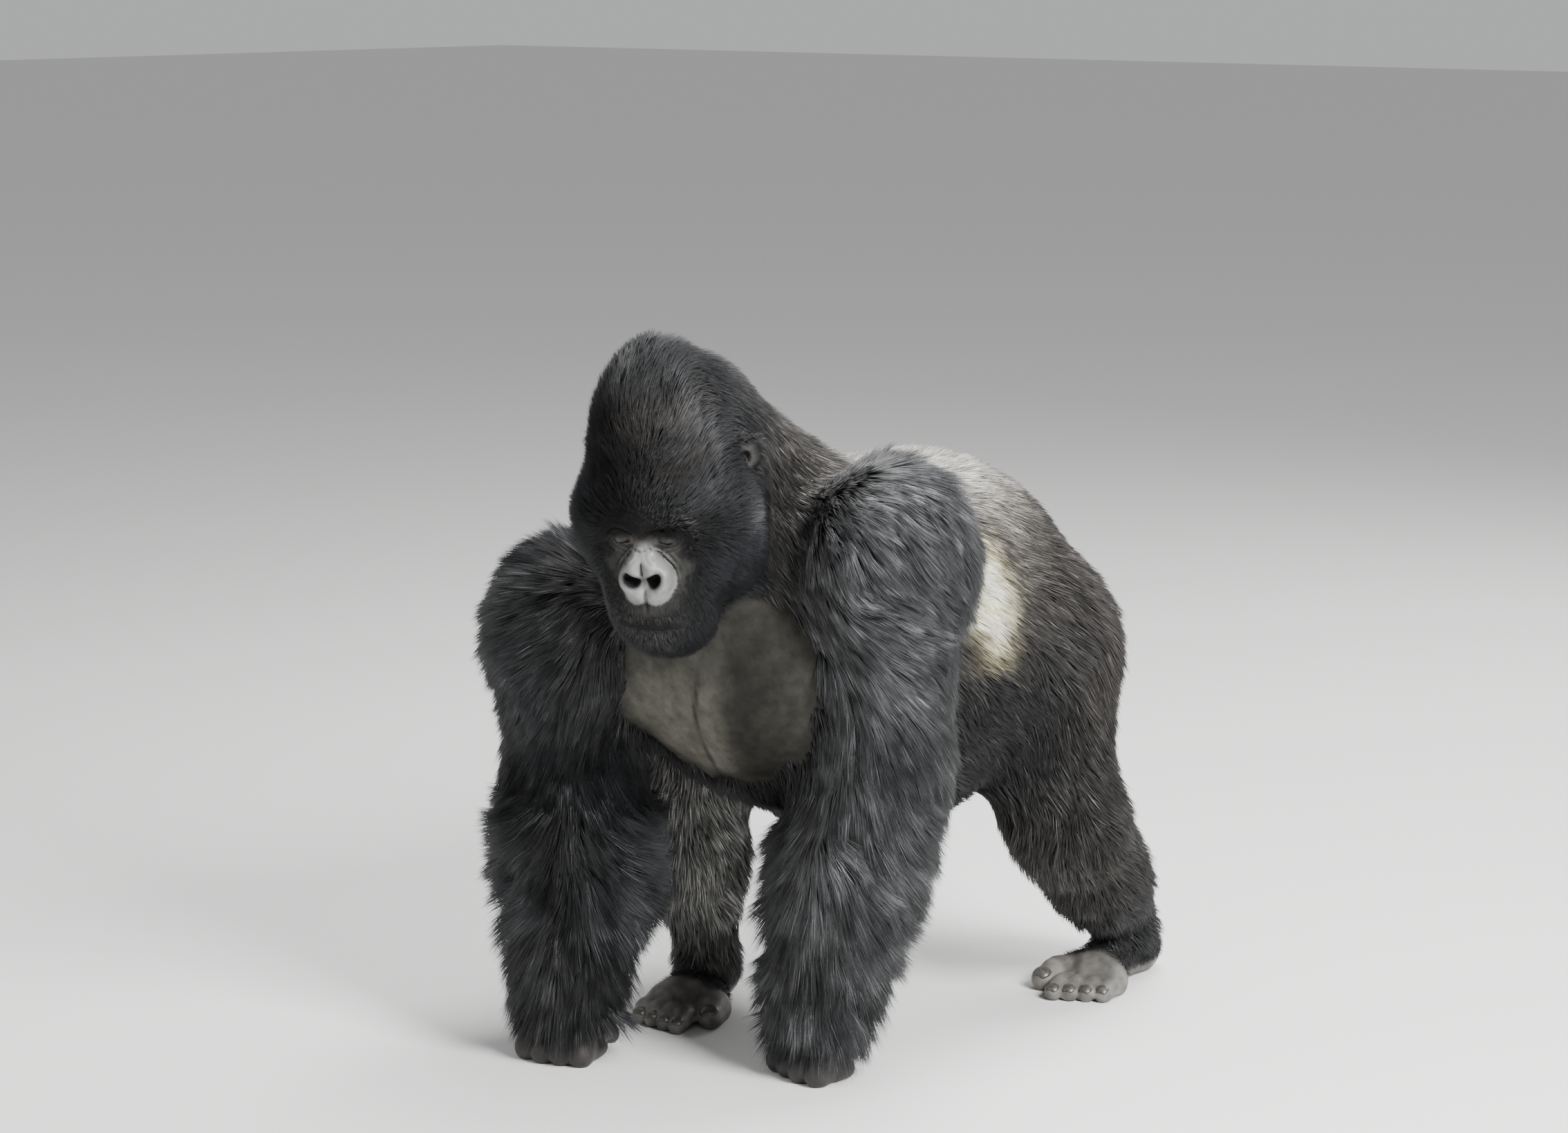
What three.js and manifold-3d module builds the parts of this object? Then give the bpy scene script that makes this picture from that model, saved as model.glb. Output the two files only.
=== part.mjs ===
// A silverback mountain gorilla standing on its knuckles and soles, at life size.
// Millimetres, +Z up, the face towards -Y, its left side towards +X and the floor at z = 0.
// Each piece is a smooth blend of rounded cones and eggs, and reaches out to the tips of the coat.
import * as THREE from 'three';
import { mergeVertices } from 'three/addons/utils/BufferGeometryUtils.js';
import Module from 'manifold-3d';

const wasm = await Module();
wasm.setup();
const { Manifold, Mesh } = wasm;

// ---- driving dimensions ----
const seam = 0.6; // gap kept between pieces that touch
const coat = { trunk: 20, head: 14, arm: 40, leg: 22 }; // depth of the hair over the flesh
const sleeve = 70; // height of the hair tips that hang round the hand
const mesh = { // rings along a piece, sides round it, rings in the dome over each end
  trunk: { rings: 7, sides: 22, dome: 4, limit: 450 },
  neck: { rings: 4, sides: 16, dome: 2 },
  upperArm: { rings: 5, sides: 12, dome: 2 },
  forearm: { rings: 5, sides: 12, dome: 2 },
  thigh: { rings: 4, sides: 12, dome: 2 },
  shin: { rings: 4, sides: 11, dome: 2 },
  palm: { rings: 2, sides: 9, dome: 1 },
  thumb: { rings: 2, sides: 6, dome: 1 },
  foot: { rings: 4, sides: 9, dome: 2 },
  toe: { rings: 2, sides: 6, dome: 1 },
};
const detail = { head: 8, ear: 1, finger: 1 }; // splits of each side of a twenty-faced ball

const joints = {
  left: {
    side: 1,
    shoulder: [250, -155, 815], elbow: [222, -170, 455], wrist: [162, -210, 155],
    hip: [130, 305, 580], knee: [235, 340, 300], ankle: [215, 540, 95],
    handTurn: -10, footTurn: 8, ruff: [0, 0, 0],
  },
  right: {
    side: -1,
    shoulder: [-210, -325, 672], elbow: [-245, -325, 420], wrist: [-196, -392, 155],
    hip: [-130, 310, 550], knee: [-275, -20, 380], ankle: [-235, -20, 90],
    handTurn: 12, footTurn: 20, ruff: [35, 29, 0],
  },
};

const headPlace = { centre: [75, -434, 931], yaw: 22, nod: 30, tilt: -1.5 };
const eye = { radius: 12.5, apart: 33, forward: 137, height: 20 };

const ribs = { centre: [10, -145, 654], radii: [232, 212, 237], nod: -5 };
const belly = { centre: [-5, 95, 602], radii: [272, 278, 288], nod: -8 };
const pelvis = { centre: [0, 301, 636], radii: [204, 264, 225], nod: -48 };
const ear = { centre: [117, 6, 60], radii: [12, 22, 29], turn: 50 };
const cuts = { chest: -40, rump: 265, neck: { normal: [0.05, -0.5, 0.86], reach: 895 } };

const finger = { spacing: 31, radius: 20, knuckleDrop: 84, forward: 50, back: 12 };
const toe = { spacing: 25, radius: 17, length: 62 };

const colours = {
  blackHair: 0x1d1e22, saddleHair: 0x8f8b86, brownHair: 0x4a413b, chestSkin: 0x6b5d52,
  faceSkin: 0x2b2a2c, footSkin: 0x6f5f58, eye: 0x2a1508,
};

// ---- small vector tools ----
const degrees = THREE.MathUtils.degToRad;
const add = (a, b) => [a[0] + b[0], a[1] + b[1], a[2] + b[2]];
const minus = (a, b) => [a[0] - b[0], a[1] - b[1], a[2] - b[2]];
const cross = (a, b) => [a[1] * b[2] - a[2] * b[1], a[2] * b[0] - a[0] * b[2], a[0] * b[1] - a[1] * b[0]];
const dot = (a, b) => a[0] * b[0] + a[1] * b[1] + a[2] * b[2];
const mix = (a, b, t) => a.map((v, i) => v + (b[i] - v) * t);
const unit = (a) => a.map((v) => v / Math.hypot(...a));

// A frame is turned by yaw (towards its left), nod (downwards) and tilt, and stands at a centre.
function frame(centre, yaw = 0, nod = 0, tilt = 0) {
  const turn = new THREE.Matrix4().makeRotationZ(degrees(yaw))
    .multiply(new THREE.Matrix4().makeRotationX(degrees(nod)))
    .multiply(new THREE.Matrix4().makeRotationY(degrees(tilt)));
  const axes = [0, 1, 2].map((i) => new THREE.Vector3().setFromMatrixColumn(turn, i).toArray());
  return { centre, axes };
}
const outOf = (f, p) => [0, 1, 2].map((i) => f.centre[i] + dot(p, f.axes.map((a) => a[i])));

// ---- fields: below zero inside, about the distance to the surface elsewhere ----
function cone(a, b, radiusA, radiusB) {
  const along = minus(b, a);
  const square = dot(along, along);
  return (p) => {
    const q = minus(p, a);
    const t = Math.min(1, Math.max(0, dot(q, along) / square));
    const dx = q[0] - t * along[0];
    const dy = q[1] - t * along[1];
    const dz = q[2] - t * along[2];
    return Math.sqrt(dx * dx + dy * dy + dz * dz) - radiusA - t * (radiusB - radiusA);
  };
}

function egg(centre, radii, turned = frame(centre)) {
  return (p) => {
    const q = minus(p, centre);
    const s = turned.axes.map((axis, i) => dot(q, axis) / radii[i]);
    const near = Math.hypot(...s) + 1e-6;
    const steep = Math.hypot(...s.map((v, i) => v / radii[i])) + 1e-9;
    return (near * (near - 1)) / steep;
  };
}

const eggOf = (part, depth) =>
  egg(part.centre, part.radii.map((r) => r + depth), frame(part.centre, 0, part.nod));

function blend(a, b, width) {
  return (p) => {
    const da = a(p);
    const db = b(p);
    const h = Math.max(width - Math.abs(da - db), 0) / width;
    return Math.min(da, db) - h * h * width * 0.25;
  };
}

function hollow(a, b, width) {
  const outside = blend((p) => -a(p), b, width);
  return (p) => -outside(p);
}

// A chain is a row of cones through its points.
function chain(points, radii, width) {
  const rows = points.slice(1).map((b, i) => cone(points[i], b, radii[i], radii[i + 1]));
  return rows.reduce((a, b) => blend(a, b, width));
}

// ---- closed facets: points sent out along rays until they leave the field ----
function leave(field, from, towards, limit) {
  const at = (reach) => from.map((v, i) => v + towards[i] * reach);
  let near = 0;
  let far = 0;
  while (far < limit && field(at(far)) < 0) {
    near = far;
    far += limit / 60;
  }
  for (let round = 0; round < 16; round += 1) {
    const half = (near + far) / 2;
    if (field(at(half)) < 0) near = half;
    else far = half;
  }
  return at(far);
}

// Rings round a line, with a dome of rings and a pole over each end.
function wrap(field, start, end, { rings, sides, dome, limit = 350 }) {
  const axis = unit(minus(end, start));
  const across = unit(cross(axis, Math.abs(axis[2]) > 0.7 ? [0, 1, 0] : [0, 0, 1]));
  const up = cross(axis, across);
  const rows = [];
  for (let i = 1; i <= dome; i += 1) rows.push([0, -90 + (90 * i) / (dome + 1)]);
  for (let i = 0; i <= rings; i += 1) rows.push([i / rings, 0]);
  for (let i = 1; i <= dome; i += 1) rows.push([1, (90 * i) / (dome + 1)]);

  const points = rows.flatMap(([t, lean]) => Array.from({ length: sides }, (_, k) => {
    const angle = (2 * Math.PI * k) / sides;
    const flat = Math.cos(degrees(lean));
    const towards = [0, 1, 2].map((i) => flat * Math.cos(angle) * across[i]
      + flat * Math.sin(angle) * up[i] + Math.sin(degrees(lean)) * axis[i]);
    return leave(field, mix(start, end, t), towards, limit);
  }));
  const first = points.push(leave(field, start, axis.map((v) => -v), limit)) - 1;
  const last = points.push(leave(field, end, axis, limit)) - 1;

  const faces = [];
  const length = (a, b) => Math.hypot(...minus(points[a], points[b]));
  const bottom = (rows.length - 1) * sides;
  for (let k = 0; k < sides; k += 1) {
    const next = (k + 1) % sides;
    faces.push(first, next, k, last, bottom + k, bottom + next);
    for (let row = 0; row < rows.length - 1; row += 1) {
      const [a, b] = [row * sides + k, row * sides + next];
      const [c, d] = [b + sides, a + sides];
      if (length(a, c) < length(b, d)) faces.push(a, b, c, a, c, d);
      else faces.push(a, b, d, b, c, d);
    }
  }
  return solidOf(points.flat(), faces);
}

// Even facets round one point.
function ball(field, centre, detail, limit = 350) {
  const round = merged(new THREE.IcosahedronGeometry(1, detail));
  const { array } = round.attributes.position;
  const points = [];
  for (let i = 0; i < array.length; i += 3) {
    points.push(...leave(field, centre, unit([array[i], array[i + 1], array[i + 2]]), limit));
  }
  return solidOf(points, round.index.array);
}

// ---- solids ----
function solidOf(positions, faces) {
  return new Manifold(new Mesh({
    numProp: 3,
    vertProperties: new Float32Array(positions),
    triVerts: new Uint32Array(faces),
  }));
}

function merged(source) {
  const geometry = source.clone();
  geometry.deleteAttribute('normal');
  geometry.deleteAttribute('uv');
  return mergeVertices(geometry, 1e-4);
}

// The same solid with each of its points pushed out along the surface.
function grown(solid, by = seam) {
  const { vertProperties: xyz, triVerts } = solid.getMesh();
  const point = (i) => [xyz[3 * i], xyz[3 * i + 1], xyz[3 * i + 2]];
  const push = new Float64Array(xyz.length);
  for (let t = 0; t < triVerts.length; t += 3) {
    const ids = [triVerts[t], triVerts[t + 1], triVerts[t + 2]];
    const [a, b, c] = ids.map(point);
    const normal = cross(minus(b, a), minus(c, a));
    for (const id of ids) normal.forEach((v, i) => { push[3 * id + i] += v; });
  }
  const moved = Array.from(xyz);
  for (let i = 0; i < xyz.length; i += 3) {
    const size = Math.hypot(push[i], push[i + 1], push[i + 2]) || 1;
    for (let axis = 0; axis < 3; axis += 1) moved[i + axis] += (push[i + axis] / size) * by;
  }
  return solidOf(moved, Array.from(triVerts));
}

const largest = (solid) => solid.decompose().sort((a, b) => b.volume() - a.volume())[0];
const without = (solid, others) =>
  largest(others.reduce((rest, other) => rest.subtract(grown(other)), solid));
const beyond = (solid, normal, reach) => largest(solid.trimByPlane(normal, reach + seam / 2));
const onFloor = (solid) => largest(solid.trimByPlane([0, 0, 1], 0));

// A thin cut through a point: the piece ahead of it and the piece behind it.
function parting(point, towards) {
  const normal = unit(towards);
  const reach = dot(normal, point);
  return {
    ahead: (solid) => beyond(solid, normal, reach),
    behind: (solid) => beyond(solid, normal.map((v) => -v), -reach),
  };
}

// ---- the body ----
const headFrame = frame(headPlace.centre, headPlace.yaw, headPlace.nod, headPlace.tilt);
const onHead = (x, y, z) => outOf(headFrame, [x, y, z]);
const headEgg = (centre, radii, yaw = 0, nod = 0, tilt = 0) => {
  const local = frame([0, 0, 0], yaw, nod, tilt);
  const axes = local.axes.map((axis) => outOf({ ...headFrame, centre: [0, 0, 0] }, axis));
  return egg(onHead(...centre), radii, { axes });
};

function headField() {
  const hair = coat.head;
  let field = headEgg([0, 15, 45], [100 + hair, 155 + hair, 112 + hair]); // braincase
  field = blend(field, headEgg([-6, 0, 129], [67 + hair, 116 + hair, 110 + hair], 0, -24), 70); // crest
  field = blend(field, cone(onHead(56, -120, 52), onHead(-56, -120, 52), 28 + hair, 28 + hair), 45); // brow
  for (const s of [1, -1]) {
    const jaw = cone(onHead(s * 75, -48, -4), onHead(s * 71, -48, -70), 58 + hair, 56 + hair);
    const cheek = cone(onHead(s * 76, -85, -5), onHead(s * 38, -145, -96), 30 + hair, 36);
    field = blend(blend(field, jaw, 50), cheek, 40);
  }
  field = blend(field, cone(onHead(0, -98, -34), onHead(0, -144, -90), 66, 56), 40); // muzzle
  field = blend(field, headEgg([0, -142, -140], [54 + hair, 36 + hair, 34 + hair]), 40); // chin
  field = blend(field, cone(onHead(0, -20, -85), onHead(0, -124, -130), 70 + hair, 40 + hair), 50); // throat
  for (const s of [1, -1]) {
    field = hollow(field, headEgg([s * 37, -158, 24], [25, 24, 17]), 16); // eye socket
  }
  field = blend(field, cone(onHead(0, -126, 22), onHead(0, -157, -6), 16, 20), 16); // bridge of the nose
  for (const s of [1, -1]) {
    const lobe = headEgg([s * 18, -168, -28], [21.5, 27, 37], s * 6, -14, s * 14);
    const wing = headEgg([s * 30, -170, -25], [12.5, 21, 19]);
    field = blend(field, blend(lobe, wing, 12), 7); // half of the nose pad
  }
  return field;
}

function trunkField() {
  const hair = coat.trunk;
  let field = eggOf(ribs, hair);
  field = blend(field, eggOf(belly, hair), 100);
  field = blend(field, eggOf(pelvis, hair), 100);
  // shoulder blades
  field = blend(field, cone([200, -115, 825], [-165, -245, 758], 52 + hair, 46 + hair), 120);
  for (const s of [1, -1]) field = blend(field, egg([s * 90, -282, 630], [98, 75, 108]), 50); // breast
  field = blend(field, cone([10, -131, 831], onHead(0, 72, 45), 119 + hair, 101 + hair), 100); // nape
  return blend(field, cone([10, -215, 700], onHead(0, 25, -42), 120 + hair, 88 + hair), 80); // throat
}

function armField({ side, shoulder, elbow, wrist, ruff }) {
  const hair = coat.arm;
  const deltoid = egg(add(shoulder, [side * 10, -18, 6]),
    [102 + hair * 0.6, 126 + hair * 0.6, 125 + hair * 0.4]);
  const upper = cone(add(shoulder, [0, -20, -40]), add(elbow, [side * 6, 14, 20]),
    98 + hair, 74 + hair * 1.1);
  const bend = cone(add(mix(elbow, shoulder, 0.15), [0, 15, 0]), mix(elbow, wrist, 0.35),
    72 + hair, 69 + hair * 1.4);
  const lower = cone(mix(elbow, wrist, 0.3), add(wrist, [side * 8, 10, 0]), 64 + hair * 1.6, 46 + hair * 1.6);
  const cuff = cone(wrist, add(wrist, [0, 6, -60]), 46 + hair * 1.5, 44 + hair * 1.1);
  const tuft = egg(add(mix(elbow, wrist, 0.57), ruff), [60 + hair * 1.1, 60 + hair * 1.1, 95]);
  return [upper, bend, lower, cuff, tuft].reduce((a, b) => blend(a, b, 55), deltoid);
}

function legField({ side, hip, knee, ankle }) {
  const hair = coat.leg;
  const buttock = egg(add(hip, [side * 26, 8, 0]), [134 + hair, 174 + hair, 160 + hair]);
  const thigh = cone(hip, knee, 144 + hair, 78 + hair);
  const shin = cone(knee, mix(ankle, knee, 0.45), 70 + hair, 64 + hair);
  const calf = cone(mix(ankle, knee, 0.55), ankle, 62 + hair, 40 + hair * 0.7);
  return [thigh, shin, calf].reduce((a, b) => blend(a, b, 55), buttock);
}

// ---- scene graph ----
const gorilla = new THREE.Group();
gorilla.name = 'gorilla';

function material(color, roughness) {
  return new THREE.MeshStandardMaterial({ color, roughness, metalness: 0, flatShading: true });
}

const finish = {
  black: material(colours.blackHair, 0.85),
  saddle: material(colours.saddleHair, 0.9),
  brown: material(colours.brownHair, 0.9),
  chest: material(colours.chestSkin, 0.75),
  face: material(colours.faceSkin, 0.5),
  foot: material(colours.footSkin, 0.7),
  eye: material(colours.eye, 0.1),
};

function show(name, solid, look) {
  const { vertProperties, triVerts } = solid.getMesh();
  const geometry = new THREE.BufferGeometry();
  geometry.setAttribute('position', new THREE.BufferAttribute(vertProperties, 3));
  geometry.setIndex(new THREE.BufferAttribute(triVerts, 1));
  const mesh = new THREE.Mesh(geometry, look);
  mesh.name = name;
  gorilla.add(mesh);
}

// Fingers bend under the knuckles, so that the backs of their middle bones lie on the floor.
function hand(name, limb) {
  const { side, wrist, handTurn } = limb;
  const place = frame(wrist, handTurn);
  const from = (x, y, z) => outOf(place, [x, y, z]);
  const palmField = blend(cone(from(0, 0, 10), from(0, -8, -70), 40, 40),
    cone(from(-36, -10, -76), from(36, -10, -76), 27, 27), 25);
  const palm = wrap(palmField, from(0, 0, 10), from(0, -8, -76), mesh.palm);
  const showing = (solid) => beyond(solid, [0, 0, -1], -sleeve + seam / 2);
  show(`hand_${name}`, showing(palm), finish.face);

  const across = place.axes[0];
  const fingers = [];
  for (let i = 0; i < 4; i += 1) {
    const x = (i - 1.5) * finger.spacing;
    const long = 1 - 0.12 * Math.abs(i - 1.5 - side * 0.3);
    const knuckle = from(x, -10, -finger.knuckleDrop);
    const middle = [...from(x, -finger.forward * long, 0).slice(0, 2), finger.radius - 1];
    const curl = [...from(x, finger.back, 0).slice(0, 2), finger.radius - 3];
    const field = chain([knuckle, middle, curl],
      [finger.radius + 2, finger.radius + 2, finger.radius - 1], 20);
    const heart = mix(mix(knuckle, middle, 0.6), curl, 0.3);
    let solid = onFloor(ball(field, heart, detail.finger));
    fingers.push(solid);
    const centre = dot(across, knuckle);
    const half = finger.spacing / 2;
    if (i > 0) solid = beyond(solid, across, centre - half);
    if (i < 3) solid = beyond(solid, across.map((v) => -v), -centre - half);
    show(`finger_${i + 1}_${name}`, showing(without(solid, [palm])), finish.face);
  }

  const [root, tip] = [from(-side * 48, 0, -56), from(-side * 86, -14, -106)];
  const thumb = wrap(cone(root, tip, 19, 14), root, tip, mesh.thumb);
  show(`thumb_${name}`, showing(without(thumb, [palm, ...fingers])), finish.face);
}

// The foot is flat on its sole, with its great toe set apart on the inner side.
function foot(name, limb, leg) {
  const { side, ankle, footTurn } = limb;
  const place = frame(ankle, footTurn);
  const sole = -ankle[2];
  const from = (x, y, z) => outOf(place, [x, y, z]);
  const heel = chain([from(0, 0, -20), from(0, 44, sole + 33)], [44, 37], 20);
  const arch = cone(from(-side * 2, 10, sole + 40), from(side * 4, -118, sole + 26), 42, 31);
  const ball = cone(from(side * 34, -112, sole + 20), from(-side * 28, -96, sole + 21), 24, 26);
  const field = [arch, ball].reduce((a, b) => blend(a, b, 35), heel);
  const base = onFloor(wrap(field, from(0, 30, sole + 38), from(side * 3, -108, sole + 24), mesh.foot));
  show(`foot_${name}`, without(base, [leg]), finish.foot);

  const across = place.axes[0];
  const toes = [];
  for (let i = 0; i < 4; i += 1) {
    const x = side * (46 - toe.spacing * i);
    const start = -122 - 5 * i;
    const reach = toe.length * (0.8 + 0.09 * i);
    const points = [from(x, start, sole + 15), from(x, start - reach * 0.5, sole + 19),
      from(x, start - reach, sole + 12)];
    const toeField = chain(points, [toe.radius, toe.radius, toe.radius - 1], 10);
    let solid = onFloor(wrap(toeField, mix(points[0], points[1], 0.2), points[2], mesh.toe));
    const centre = dot(across, points[0]);
    const half = toe.spacing / 2;
    solid = beyond(beyond(solid, across, centre - half), across.map((v) => -v), -centre - half);
    toes.push(solid);
    show(`toe_${5 - i}_${name}`, without(solid, [base, leg]), finish.foot);
  }
  const points = [from(-side * 38, -66, sole + 24), from(-side * 64, -124, sole + 22),
    from(-side * 70, -160, sole + 18)];
  const great = onFloor(wrap(chain(points, [27, 24, 21], 12), points[0], points[2], mesh.toe));
  show(`toe_1_${name}`, without(great, [base, leg, ...toes]), finish.foot);
}

const limbs = Object.entries(joints).map(([name, limb]) => {
  const { shoulder, elbow, wrist, hip, knee, ankle } = limb;
  const arm = armField(limb);
  const leg = legField(limb);
  const shorten = (a, b, t) => [mix(a, b, t), mix(b, a, t)];
  const upper = wrap(arm, ...shorten(shoulder, elbow, 0.1), mesh.upperArm);
  const fore = wrap(arm, ...shorten(elbow, wrist, 0.1), mesh.forearm);
  const thigh = wrap(leg, ...shorten(hip, knee, 0.05), mesh.thigh);
  const shin = wrap(leg, ...shorten(knee, ankle, 0.1), mesh.shin);
  const armCut = parting(elbow, minus(shoulder, wrist));
  const legCut = parting(knee, add(unit(minus(hip, knee)), unit(minus(knee, ankle))));
  return { name, limb, upper, fore, thigh, shin, armCut, legCut };
});

for (const { name, limb, upper, fore, thigh, shin, armCut, legCut } of limbs) {
  show(`upper_arm_${name}`, armCut.ahead(upper), finish.black);
  show(`forearm_${name}`, beyond(armCut.behind(fore), [0, 0, 1], sleeve), finish.black);
  hand(name, limb);
  show(`thigh_${name}`, beyond(legCut.ahead(thigh), [limb.side, 0, 0], 0), finish.brown);
  show(`shin_${name}`, legCut.behind(shin), finish.black);
  foot(name, limb, shin);
}
const hung = limbs.flatMap(({ upper, fore, thigh, shin }) => [upper, fore, thigh, shin]);

const eyeShape = new THREE.SphereGeometry(eye.radius, 10, 6);
const eyeSolids = [['left', 1], ['right', -1]].map(([name, s]) => {
  const centre = onHead(s * eye.apart, -eye.forward, eye.height);
  const eyeball = new THREE.Mesh(eyeShape, finish.eye);
  eyeball.name = `eye_${name}`;
  eyeball.position.set(...centre);
  gorilla.add(eyeball);
  const round = merged(eyeShape.clone().translate(...centre));
  return solidOf(round.attributes.position.array, round.index.array);
});

const headWhole = ball(headField(), onHead(0, -25, 15), detail.head);
show('head', without(headWhole, [...hung, ...eyeSolids]), finish.black);

const ears = [['left', 1], ['right', -1]].map(([name, s]) => {
  const centre = [s * ear.centre[0], ear.centre[1], ear.centre[2]];
  const shell = ball(headEgg(centre, ear.radii, -s * ear.turn), onHead(...centre), detail.ear);
  show(`ear_${name}`, without(shell, [headWhole]), finish.face);
  return shell;
});

const trunkWhole = trunkField();
const neckCut = parting(cuts.neck.normal.map((v) => v * cuts.neck.reach), cuts.neck.normal);
const chestCut = parting([0, cuts.chest, 0], [0, -1, 0]);
const rumpCut = parting([0, cuts.rump, 0], [0, -1, 0]);
const nape = wrap(trunkWhole, [10, -160, 760], onHead(0, 40, 10), mesh.neck);
const trunk = without(neckCut.behind(wrap(trunkWhole, [0, 330, 600], [5, -190, 690], mesh.trunk)),
  [headWhole, ...hung]);
show('neck', without(neckCut.ahead(nape), [headWhole, ...ears, ...hung]), finish.brown);
show('chest', chestCut.ahead(trunk), finish.chest);
show('belly', rumpCut.ahead(chestCut.behind(trunk)), finish.saddle);
show('rump', rumpCut.behind(trunk), finish.brown);

export default gorilla;
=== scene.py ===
import bpy
import math
import numpy as np
from mathutils import Matrix, Vector
from mathutils.kdtree import KDTree


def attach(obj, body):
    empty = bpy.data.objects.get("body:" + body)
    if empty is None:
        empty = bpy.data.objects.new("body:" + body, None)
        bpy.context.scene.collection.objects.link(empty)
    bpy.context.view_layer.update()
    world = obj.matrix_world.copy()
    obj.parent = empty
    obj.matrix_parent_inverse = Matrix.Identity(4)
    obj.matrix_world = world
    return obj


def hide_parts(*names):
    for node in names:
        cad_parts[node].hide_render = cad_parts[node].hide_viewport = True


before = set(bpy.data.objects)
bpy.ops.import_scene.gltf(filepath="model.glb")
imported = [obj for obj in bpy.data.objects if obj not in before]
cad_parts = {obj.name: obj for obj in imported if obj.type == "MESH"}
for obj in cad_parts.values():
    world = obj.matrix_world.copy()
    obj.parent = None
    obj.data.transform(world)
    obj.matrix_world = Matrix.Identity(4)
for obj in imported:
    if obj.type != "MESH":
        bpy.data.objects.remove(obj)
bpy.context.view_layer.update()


# ---- light, floor and camera ----

studio = {
    "azimuth": 40, "elevation": 10,  # where the camera stands, in degrees from straight ahead
    "distance": 5.744, "aside": -0.106, "height": 0.7255, "forward": 0.065,
    "lens": 80.95, "sensor": 36, "sees": 200,
    "floorSize": 80, "floorColour": (0.7, 0.7, 0.685, 1),
    "floorRoughness": 0.9, "skyColour": (0.93, 0.94, 0.95, 1), "skyStrength": 0.53,
    "middle": (0, 0, 0.6),  # what every light faces
    "lights": (  # name, place, power in watts, size in metres
        ("keyLight", (3.7, -0.9, 3.0), 580, 1.6), ("topLight", (0.3, 0.9, 4.6), 250, 2.2),
        ("fillLight", (-1.6, -4.2, 2.4), 60, 2.4), ("backLight", (0.5, 4.4, 3.2), 150, 2.4),
    ),
}


def addObject(name, data):
    made = bpy.data.objects.new(name, data)
    bpy.context.collection.objects.link(made)
    return made


def aim(thing, way):  # a camera or a light looks along this direction
    thing.rotation_mode = "QUATERNION"
    thing.rotation_quaternion = way.to_track_quat("-Z", "Y")


def makeStudio():
    azimuth, elevation = math.radians(studio["azimuth"]), math.radians(studio["elevation"])
    back = Vector((math.sin(azimuth) * math.cos(elevation), -math.cos(azimuth) * math.cos(elevation),
                   math.sin(elevation)))
    right = Vector((math.cos(azimuth), math.sin(azimuth), 0))
    up = back.cross(right)
    camera = addObject("camera", bpy.data.cameras.new("camera"))
    camera.location = (right * studio["aside"] + up * studio["height"] + back * studio["distance"]
                       + Vector((0, studio["forward"], 0)))
    aim(camera, -back)
    camera.data.lens = studio["lens"]
    camera.data.sensor_width = studio["sensor"]
    camera.data.clip_end = studio["sees"]
    bpy.context.scene.camera = camera

    half = studio["floorSize"] / 2
    mesh = bpy.data.meshes.new("floor")
    mesh.from_pydata([(-half, -half, 0), (half, -half, 0), (half, half, 0), (-half, half, 0)], [],
                     [(0, 1, 2, 3)])
    floor = addObject("floor", mesh)
    paint = bpy.data.materials.new("studioFloor")
    paint.use_nodes = True
    shader = paint.node_tree.nodes["Principled BSDF"]
    shader.inputs["Base Color"].default_value = studio["floorColour"]
    shader.inputs["Roughness"].default_value = studio["floorRoughness"]
    mesh.materials.append(paint)

    world = bpy.data.worlds.new("sky")
    world.use_nodes = True
    sky = world.node_tree.nodes["Background"].inputs
    sky["Color"].default_value = studio["skyColour"]
    sky["Strength"].default_value = studio["skyStrength"]
    bpy.context.scene.world = world
    for name, place, power, size in studio["lights"]:
        light = addObject(name, bpy.data.lights.new(name, "AREA"))
        light.data.energy = power
        light.data.size = size
        light.location = place
        aim(light, Vector(studio["middle"]) - Vector(place))


makeStudio()
print("studio ready")


# ---- small shapes, below zero inside ----

def turned(yaw=0, nod=0, tilt=0):  # columns: left, back, up
    y, n, t = (math.radians(v) for v in (yaw, nod, tilt))
    aboutZ = np.array([[math.cos(y), -math.sin(y), 0], [math.sin(y), math.cos(y), 0], [0, 0, 1]])
    aboutX = np.array([[1, 0, 0], [0, math.cos(n), -math.sin(n)], [0, math.sin(n), math.cos(n)]])
    aboutY = np.array([[math.cos(t), 0, math.sin(t)], [0, 1, 0], [-math.sin(t), 0, math.cos(t)]])
    return aboutZ @ aboutX @ aboutY


def dot(a, b):
    return np.einsum("ij,ij->i", a, b)


def cone(p, a, b, radiusA, radiusB, more=0):  # a rod with round ends, thicker all over by more
    a, b = np.asarray(a, float), np.asarray(b, float)
    radiusA, radiusB = radiusA + more, radiusB + more
    along = b - a
    q = p - a
    t = np.clip(q @ along / (along @ along), 0, 1)
    q -= t[:, None] * along
    return np.sqrt(dot(q, q)) - radiusA - t * (radiusB - radiusA)


def egg(p, centre, radii, axes=None, more=0):
    q = p - np.asarray(centre, float)
    if axes is not None:
        q = q @ axes
    radii = np.asarray(radii, float) + more
    s = q / radii
    near = np.sqrt(dot(s, s)) + 1e-6
    s /= radii
    return near * (near - 1) / (np.sqrt(dot(s, s)) + 1e-9)


def blend(a, b, width):
    h = np.maximum(width - np.abs(a - b), 0) / width
    return np.minimum(a, b) - h * h * width * 0.25


def joined(d, *shapes):  # each shape comes with the width of its blend
    for shape, width in shapes:
        d = blend(d, shape, width)
    return d


def hollow(a, b, width):
    return -blend(-a, b, width)


def smooth(x, low, high):
    t = np.clip((x - low) / (high - low), 0, 1)
    return t * t * (3 - 2 * t)


def bump(x, width):
    return np.exp(-(x / width) ** 2)


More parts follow.
